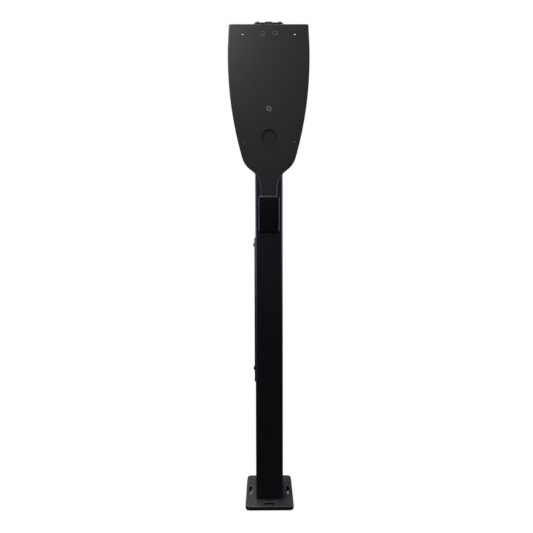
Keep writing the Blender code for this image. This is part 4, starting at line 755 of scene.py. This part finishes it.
def make_screw_tree():
    tree, given, result = new_group(
        "Socket screw", "GeometryNodeTree",
        [
            ("Places", GEOMETRY, None), ("Foot Radius", FLOAT, 0.005),
            ("Face Radius", FLOAT, 0.005), ("Curve", FLOAT, 1.0), ("Head Height", FLOAT, 0.003),
            ("Shank Radius", FLOAT, 0.003), ("Length", FLOAT, 0.02), ("Pitch", FLOAT, 0.001),
            ("Socket Width", FLOAT, 0.004), ("Socket Depth", FLOAT, 0.002),
            ("Facing", VECTOR, (0, 0, 0)), ("Seed", "NodeSocketInt", 0),
            ("Finish", "NodeSocketMaterial", None),
        ],
        [("Screws", GEOMETRY)],
    )
    x, y, z = add(
        tree, "ShaderNodeSeparateXYZ", {0: add(tree, "GeometryNodeInputPosition").outputs[0]},
    ).outputs

    blank = add(
        tree, "GeometryNodeMeshCylinder",
        {"Vertices": HEAD_SIDES, "Side Segments": HEAD_RINGS, "Radius": 1.0, "Depth": 1.0},
    ).outputs["Mesh"]
    rise = math_of(tree, "ADD", z, 0.5)
    narrowing = math_of(tree, "SUBTRACT", given["Face Radius"], given["Foot Radius"])
    curved = math_of(tree, "POWER", math_of(tree, "MAXIMUM", rise, 0.0), given["Curve"])
    radius = math_of(
        tree, "ADD", given["Foot Radius"], math_of(tree, "MULTIPLY", narrowing, curved),
    )
    depth = math_of(
        tree, "MULTIPLY", math_of(tree, "SUBTRACT", rise, 1.0), given["Head Height"],
    )
    head = bent(tree, blank, add(tree, "ShaderNodeCombineXYZ", {
        0: math_of(tree, "MULTIPLY", x, radius), 1: math_of(tree, "MULTIPLY", y, radius),
        2: depth,
    }).outputs[0])

    overlap = math_of(tree, "MULTIPLY", given["Head Height"], 0.5)
    reach = math_of(tree, "SUBTRACT", given["Length"], overlap)
    turns = math_of(tree, "DIVIDE", reach, given["Pitch"])
    rod = add(
        tree, "GeometryNodeMeshCylinder",
        {
            "Vertices": SHANK_SIDES,
            "Side Segments": math_of(tree, "MULTIPLY", turns, RINGS_PER_TURN),
            "Radius": 1.0, "Depth": 1.0,
        },
    ).outputs["Mesh"]
    level = math_of(tree, "MULTIPLY", math_of(tree, "SUBTRACT", z, 0.5), reach)
    angle = math_of(tree, "DIVIDE", math_of(tree, "ARCTAN2", y, x), 2 * math.pi)
    phase = math_of(tree, "ADD", math_of(tree, "DIVIDE", level, given["Pitch"]), angle)
    groove = math_of(tree, "PINGPONG", phase, 0.5)
    full_depth = math_of(tree, "MULTIPLY", given["Pitch"], GROOVE_SHARE)
    groove_depth = math_of(tree, "MULTIPLY", full_depth, groove)
    core = math_of(tree, "SUBTRACT", given["Shank Radius"], groove_depth)
    shank = bent(tree, rod, add(tree, "ShaderNodeCombineXYZ", {
        0: math_of(tree, "MULTIPLY", x, core), 1: math_of(tree, "MULTIPLY", y, core),
        2: math_of(tree, "SUBTRACT", level, overlap),
    }).outputs[0])

    corner_radius = math_of(tree, "DIVIDE", given["Socket Width"], math.sqrt(3))
    punch = add(
        tree, "GeometryNodeMeshCylinder",
        {
            "Vertices": 6, "Side Segments": 1, "Radius": corner_radius,
            "Depth": math_of(tree, "MULTIPLY", given["Socket Depth"], 2.0),
        },
    ).outputs["Mesh"]
    whole = add(tree, "GeometryNodeMeshBoolean", operation="UNION", solver="EXACT")
    tree.links.new(head, whole.inputs[1])
    tree.links.new(shank, whole.inputs[1])
    cut = add(
        tree, "GeometryNodeMeshBoolean", {0: whole.outputs[0], 1: punch},
        operation="DIFFERENCE", solver="EXACT",
    )
    spin = add(
        tree, "FunctionNodeRandomValue", {"Seed": given["Seed"]}, data_type="FLOAT",
    )
    spun = math_of(tree, "MULTIPLY", spin.outputs[1], 2 * math.pi)
    facing = add(tree, "FunctionNodeEulerToRotation", {0: given["Facing"]}).outputs[0]
    copies = add(
        tree, "GeometryNodeInstanceOnPoints",
        {"Points": given["Places"], "Instance": cut.outputs[0], "Rotation": facing},
    ).outputs[0]
    turn = add(tree, "FunctionNodeEulerToRotation", {
        0: add(tree, "ShaderNodeCombineXYZ", {2: spun}).outputs[0],
    }).outputs[0]
    turned = add(
        tree, "GeometryNodeRotateInstances", {"Instances": copies, "Rotation": turn},
    ).outputs[0]
    real = add(tree, "GeometryNodeRealizeInstances", {0: turned}).outputs[0]
    dressed = add(
        tree, "GeometryNodeSetMaterial", {"Geometry": real, "Material": given["Finish"]},
    ).outputs[0]
    tree.links.new(dressed, result["Screws"])
    return tree


SCREW_TREE = make_screw_tree()


# %% Growing a piece from a tree
def points_mesh(name, points):
    mesh = bpy.data.meshes.new(name)
    mesh.from_pydata([tuple(point) for point in points], [], [])
    return mesh


def grown(mesh, tree, values):
    """Runs a Geometry Nodes tree on a mesh of points and keeps the result as plain mesh."""
    host = bpy.data.objects.new(mesh.name, mesh)
    bpy.context.collection.objects.link(host)
    growth = host.modifiers.new("growth", "NODES")
    growth.node_group = tree
    for item in tree.interface.items_tree:
        if item.in_out == "INPUT" and item.name in values:
            growth[item.identifier] = values[item.name]
    ready = host.evaluated_get(bpy.context.evaluated_depsgraph_get())
    result = bpy.data.meshes.new_from_object(ready)
    host.modifiers.remove(growth)
    host.data = result
    return host


# %% [markdown]
# The places and sizes of the screws come from the frame: a screw's box gives its axis,
# its face, its head radius and its length. Only what a box can't tell, such as the
# thread's pitch and the socket's width, is written here.

# %% All the screws
FRONT = Euler((math.pi / 2, 0, 0))
BACK = Euler((-math.pi / 2, 0, 0))
LEFT = Euler((0, -math.pi / 2, 0))
DOWN = Euler((math.pi, 0, 0))
BUTTON = {"Curve": 2.6, "foot": 1.0, "face": 0.52, "height": 0.55}
SUNK = {"Curve": 1.0, "foot": 0.55, "face": 1.0, "height": 0.45}


def screw_row(name, screws, facing, kind, shank, pitch, socket, finish):
    """One piece that stands for several screws of one kind."""
    boxes = [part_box(screw) for screw in screws]
    outward = facing.to_matrix() @ Vector((0, 0, 1))
    axis = max(range(3), key=lambda index: abs(outward[index]))
    across = (axis + 1) % 3
    places = []
    for low, high in boxes:
        place = (Vector(low) + Vector(high)) / 2
        place[axis] = high[axis] if outward[axis] > 0 else low[axis]
        places.append(place)
    low, high = boxes[0]
    head = (high[across] - low[across]) / 2
    values = {
        "Foot Radius": head * kind["foot"], "Face Radius": head * kind["face"],
        "Curve": kind["Curve"], "Head Height": head * kind["height"],
        "Shank Radius": shank, "Length": high[axis] - low[axis], "Pitch": pitch,
        "Socket Width": socket, "Socket Depth": head * SOCKET_SHARE,
        "Facing": tuple(facing), "Seed": len(name), "Finish": finish,
    }
    piece = grown(points_mesh(name, places), SCREW_TREE, values)
    smooth_shaded(piece.data)
    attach(piece, "root")
    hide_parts(*screws)
    print(f"{name}: {len(screws)} screws, head {2 * head / MM:.1f} mm across, "
          f"{len(piece.data.polygons)} faces")


def numbered(name, count):
    return [f"{name}_{number}" for number in range(1, count + 1)]


screw_row("head_screws", numbered("head_screw", 3), FRONT, SUNK,
          shank=0.0030, pitch=0.0010, socket=0.0040, finish=black_steel)
screw_row("foot_screws", numbered("foot_screw", 4), DOWN, SUNK,
          shank=0.0040, pitch=0.00125, socket=0.0050, finish=zinc)
screw_row("side_screws", numbered("side_screw", 2), LEFT, BUTTON,
          shank=0.0025, pitch=0.0008, socket=0.0030, finish=black_steel)
screw_row("cap_screws", numbered("cap_screw", 2), BACK, BUTTON,
          shank=0.0020, pitch=0.0007, socket=0.0025, finish=black_steel)
screw_row("bezel_screws", numbered("bezel_screw", 4), BACK, BUTTON,
          shank=0.0015, pitch=0.0005, socket=0.0020, finish=black_steel)

# %% [markdown]
# ## The number on the display
#
# A liquid crystal digit is seven bars. The bars are one small bevelled plate that is
# put wherever a bar is lit, lying or standing. The tree turns each copy by a value that
# its point carries. The number itself is a plain count.

# %% Seven-segment digits
COUNT = "0128"
LIT = {
    "0": "abcdef", "1": "bc", "2": "abged", "3": "abgcd", "4": "fgbc",
    "5": "afgcd", "6": "afgedc", "7": "abc", "8": "abcdefg", "9": "abcdfg",
}
BARS = {
    "a": (0, 1, 0), "g": (0, 0, 0), "d": (0, -1, 0),
    "f": (-0.5, 0.5, 1), "b": (0.5, 0.5, 1), "e": (-0.5, -0.5, 1), "c": (0.5, -0.5, 1),
}
BAR_LENGTH = 3.2 * MM
BAR_WIDTH = 0.75 * MM
BAR_THICKNESS = 0.12 * MM
BAR_GAP = 0.12 * MM
BAR_LIFT = 0.02 * MM        # keeps a bar's back off the panel
DIGIT_PITCH = 6.2 * MM


def make_digit_tree():
    tree, given, result = new_group(
        "Lit bars", "GeometryNodeTree",
        [
            ("Places", GEOMETRY, None), ("Length", FLOAT, 0.003), ("Width", FLOAT, 0.0007),
            ("Thickness", FLOAT, 0.0001), ("Finish", "NodeSocketMaterial", None),
        ],
        [("Bars", GEOMETRY)],
    )
    bar = add(
        tree, "GeometryNodeMeshCylinder",
        {"Vertices": 4, "Side Segments": 1, "Radius": 1.0, "Depth": 1.0},
    ).outputs["Mesh"]
    x, y, z = add(
        tree, "ShaderNodeSeparateXYZ", {0: add(tree, "GeometryNodeInputPosition").outputs[0]},
    ).outputs
    half = math_of(tree, "MULTIPLY", given["Length"], 0.5)
    flank = math_of(tree, "MULTIPLY", given["Width"], 0.5)
    pointed = bent(tree, bar, add(tree, "ShaderNodeCombineXYZ", {
        0: math_of(tree, "MULTIPLY", x, half), 1: math_of(tree, "MULTIPLY", z, given["Thickness"]),
        2: math_of(tree, "MULTIPLY", y, flank),
    }).outputs[0])
    box = add(tree, "GeometryNodeMeshCube", {"Size": add(tree, "ShaderNodeCombineXYZ", {
        0: math_of(tree, "SUBTRACT", given["Length"], given["Width"]),
        1: given["Thickness"], 2: given["Width"],
    }).outputs[0]}).outputs["Mesh"]
    body = add(tree, "GeometryNodeMeshBoolean", operation="UNION", solver="EXACT")
    tree.links.new(pointed, body.inputs[1])
    tree.links.new(box, body.inputs[1])
    standing = add(
        tree, "GeometryNodeInputNamedAttribute", {"Name": "standing"}, data_type="FLOAT",
    ).outputs[0]
    turn = add(tree, "FunctionNodeEulerToRotation", {
        0: add(tree, "ShaderNodeCombineXYZ", {
            1: math_of(tree, "MULTIPLY", standing, math.pi / 2),
        }).outputs[0],
    }).outputs[0]
    copies = add(
        tree, "GeometryNodeInstanceOnPoints",
        {"Points": given["Places"], "Instance": body.outputs[0], "Rotation": turn},
    ).outputs[0]
    real = add(tree, "GeometryNodeRealizeInstances", {0: copies}).outputs[0]
    dressed = add(
        tree, "GeometryNodeSetMaterial", {"Geometry": real, "Material": given["Finish"]},
    ).outputs[0]
    tree.links.new(dressed, result["Bars"])
    return tree


def digits():
    """One point for each lit bar, and whether that bar stands up."""
    low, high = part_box("display_panel")
    face = high[1] + BAR_THICKNESS / 2 + BAR_LIFT
    middle = (Vector(low) + Vector(high)) / 2
    points = []
    standing = []
    for index, figure in enumerate(COUNT):
        centre = middle.x - (index - (len(COUNT) - 1) / 2) * DIGIT_PITCH
        for bar in LIT[figure]:
            across, rise, upright = BARS[bar]
            points.append((
                centre - across * BAR_LENGTH, face, middle.z + rise * BAR_LENGTH,
            ))
            standing.append(float(upright))
    mesh = points_mesh("display_digits", points)
    mesh.attributes.new("standing", "FLOAT", "POINT").data.foreach_set("value", standing)
    return mesh, len(points)


# %% Grow the digits
digit_points, bar_count = digits()
digit_piece = grown(digit_points, make_digit_tree(), {
    "Length": BAR_LENGTH - BAR_GAP, "Width": BAR_WIDTH, "Thickness": BAR_THICKNESS, "Finish": ink,
})
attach(digit_piece, "root")
print("display:", COUNT, "in", bar_count, "bars")

# %% [markdown]
# ## Studio
#
# The object is nearly black, so light decides its look. A small panel stands high, left
# of the head and close to it, so its light fades across the plate and down the post. A
# wide soft panel fills the front, and one overhead brightens what faces up. Two cool
# panels at the sides draw the thin bluish lines on the post's round corners, one behind
# lights the back, and a narrow beam reaches the base plate's front. The floor and the
# background are pale to the camera but dark to every other ray, so that they don't fill
# the shadows.


# %% Floor and background
BACKGROUND_LIGHT = 1.0
FLOOR_SIDE = 8.0
FLOOR_SHADOW_REACH = 0.020
FLOOR_DARK = (0.03, 0.03, 0.032, 1.0)


def make_floor():
    mesh = bpy.data.meshes.new("floor")
    half = FLOOR_SIDE / 2
    mesh.from_pydata(
        [(-half, -half, 0), (half, -half, 0), (half, half, 0), (-half, half, 0)], [],
        [(0, 1, 2, 3)],
    )
    floor = bpy.data.objects.new("floor", mesh)
    bpy.context.collection.objects.link(floor)
    material, tree, shader = new_material("pale floor")
    shader.inputs["Base Color"].default_value = FLOOR_DARK
    shader.inputs["Roughness"].default_value = 0.9
    shader.inputs["Specular IOR Level"].default_value = 0.0
    # The glow fades where little of the room is open above the floor: a painted shadow in the base
    # plate's slots and close around the base.
    open_sky = add(tree, "ShaderNodeAmbientOcclusion", {"Distance": FLOOR_SHADOW_REACH}, samples=8)
    glow = add(
        tree, "ShaderNodeMapRange",
        {"Value": open_sky.outputs["AO"], "From Min": 0.42, "From Max": 0.60},
    )
    tree.links.new(glow.outputs[0], shader.inputs["Emission Color"])
    shader.inputs["Emission Strength"].default_value = BACKGROUND_LIGHT
    dark = add(tree, "ShaderNodeBsdfDiffuse", {"Color": FLOOR_DARK})
    path = add(tree, "ShaderNodeLightPath")
    seen = add(
        tree, "ShaderNodeMixShader",
        {0: path.outputs["Is Camera Ray"], 1: dark.outputs[0], 2: shader.outputs[0]},
    )
    behind = add(tree, "ShaderNodeNewGeometry").outputs["Backfacing"]
    clear = add(tree, "ShaderNodeBsdfTransparent")
    sided = add(tree, "ShaderNodeMixShader", {0: behind, 1: seen.outputs[0], 2: clear.outputs[0]})
    tree.links.new(sided.outputs[0], tree.nodes["Material Output"].inputs["Surface"])
    mesh.materials.append(material)


def make_background():
    world = bpy.data.worlds.new("studio")
    world.use_nodes = True
    tree = world.node_tree
    tree.nodes.clear()
    pale = add(
        tree, "ShaderNodeBackground", {"Color": (1, 1, 1, 1), "Strength": BACKGROUND_LIGHT},
    )
    dim = add(
        tree, "ShaderNodeBackground", {"Color": (0.75, 0.82, 1.0, 1), "Strength": 0.05},
    )
    path = add(tree, "ShaderNodeLightPath")
    both = add(
        tree, "ShaderNodeMixShader",
        {0: path.outputs["Is Camera Ray"], 1: dim.outputs[0], 2: pale.outputs[0]},
    )
    end = add(tree, "ShaderNodeOutputWorld")
    tree.links.new(both.outputs[0], end.inputs["Surface"])
    bpy.context.scene.world = world
    bpy.context.scene.view_settings.view_transform = "Standard"


make_floor()
make_background()


# %% Lights
def area_light(name, place, target, width, height, power, colour, spread=180):
    """A rectangular light that aims at a point, hidden from the camera."""
    data = bpy.data.lights.new(name, "AREA")
    data.shape = "RECTANGLE"
    data.size = width
    data.size_y = height
    data.energy = power
    data.color = colour
    data.spread = math.radians(spread)
    light = bpy.data.objects.new(name, data)
    light.location = place
    aim = Vector(target) - Vector(place)
    light.rotation_euler = aim.to_track_quat("-Z", "Y").to_euler()
    light.visible_camera = False
    bpy.context.collection.objects.link(light)


COOL = (0.60, 0.68, 1.0)
WARM = (1.0, 0.98, 0.94)
PALE = (0.93, 0.96, 1.0)
area_light("key", place=(-0.25, -0.20, 1.20), target=(0, 0, 0.98),
           width=0.12, height=0.12, power=1.05, colour=WARM)
area_light("front", place=(0, -2.0, 1.42), target=(0, 0, 0.95),
           width=1.6, height=1.15, power=4.1, colour=PALE)
area_light("overhead", place=(-0.40, -0.17, 2.4), target=(0, 0, 0.2),
           width=0.5, height=0.5, power=26.0, colour=WARM)
area_light("left_strip", place=(-0.9, 0.12, 0.62), target=(0, 0, 0.62),
           width=0.6, height=0.5, power=8.0, colour=COOL)
area_light("right_strip", place=(0.9, 0.12, 0.66), target=(0, 0, 0.66),
           width=0.6, height=0.45, power=9.0, colour=COOL)
area_light("rear", place=(-0.4, 1.2, 1.4), target=(0, 0, 0.2),
           width=0.8, height=0.8, power=6.0, colour=WARM)
area_light("toe", place=(0, -1.25, 1.55), target=(0, -0.05, 0.0),
           width=0.2, height=0.2, power=0.022, colour=WARM, spread=14)
print("lights:", [light.name for light in bpy.data.lights])
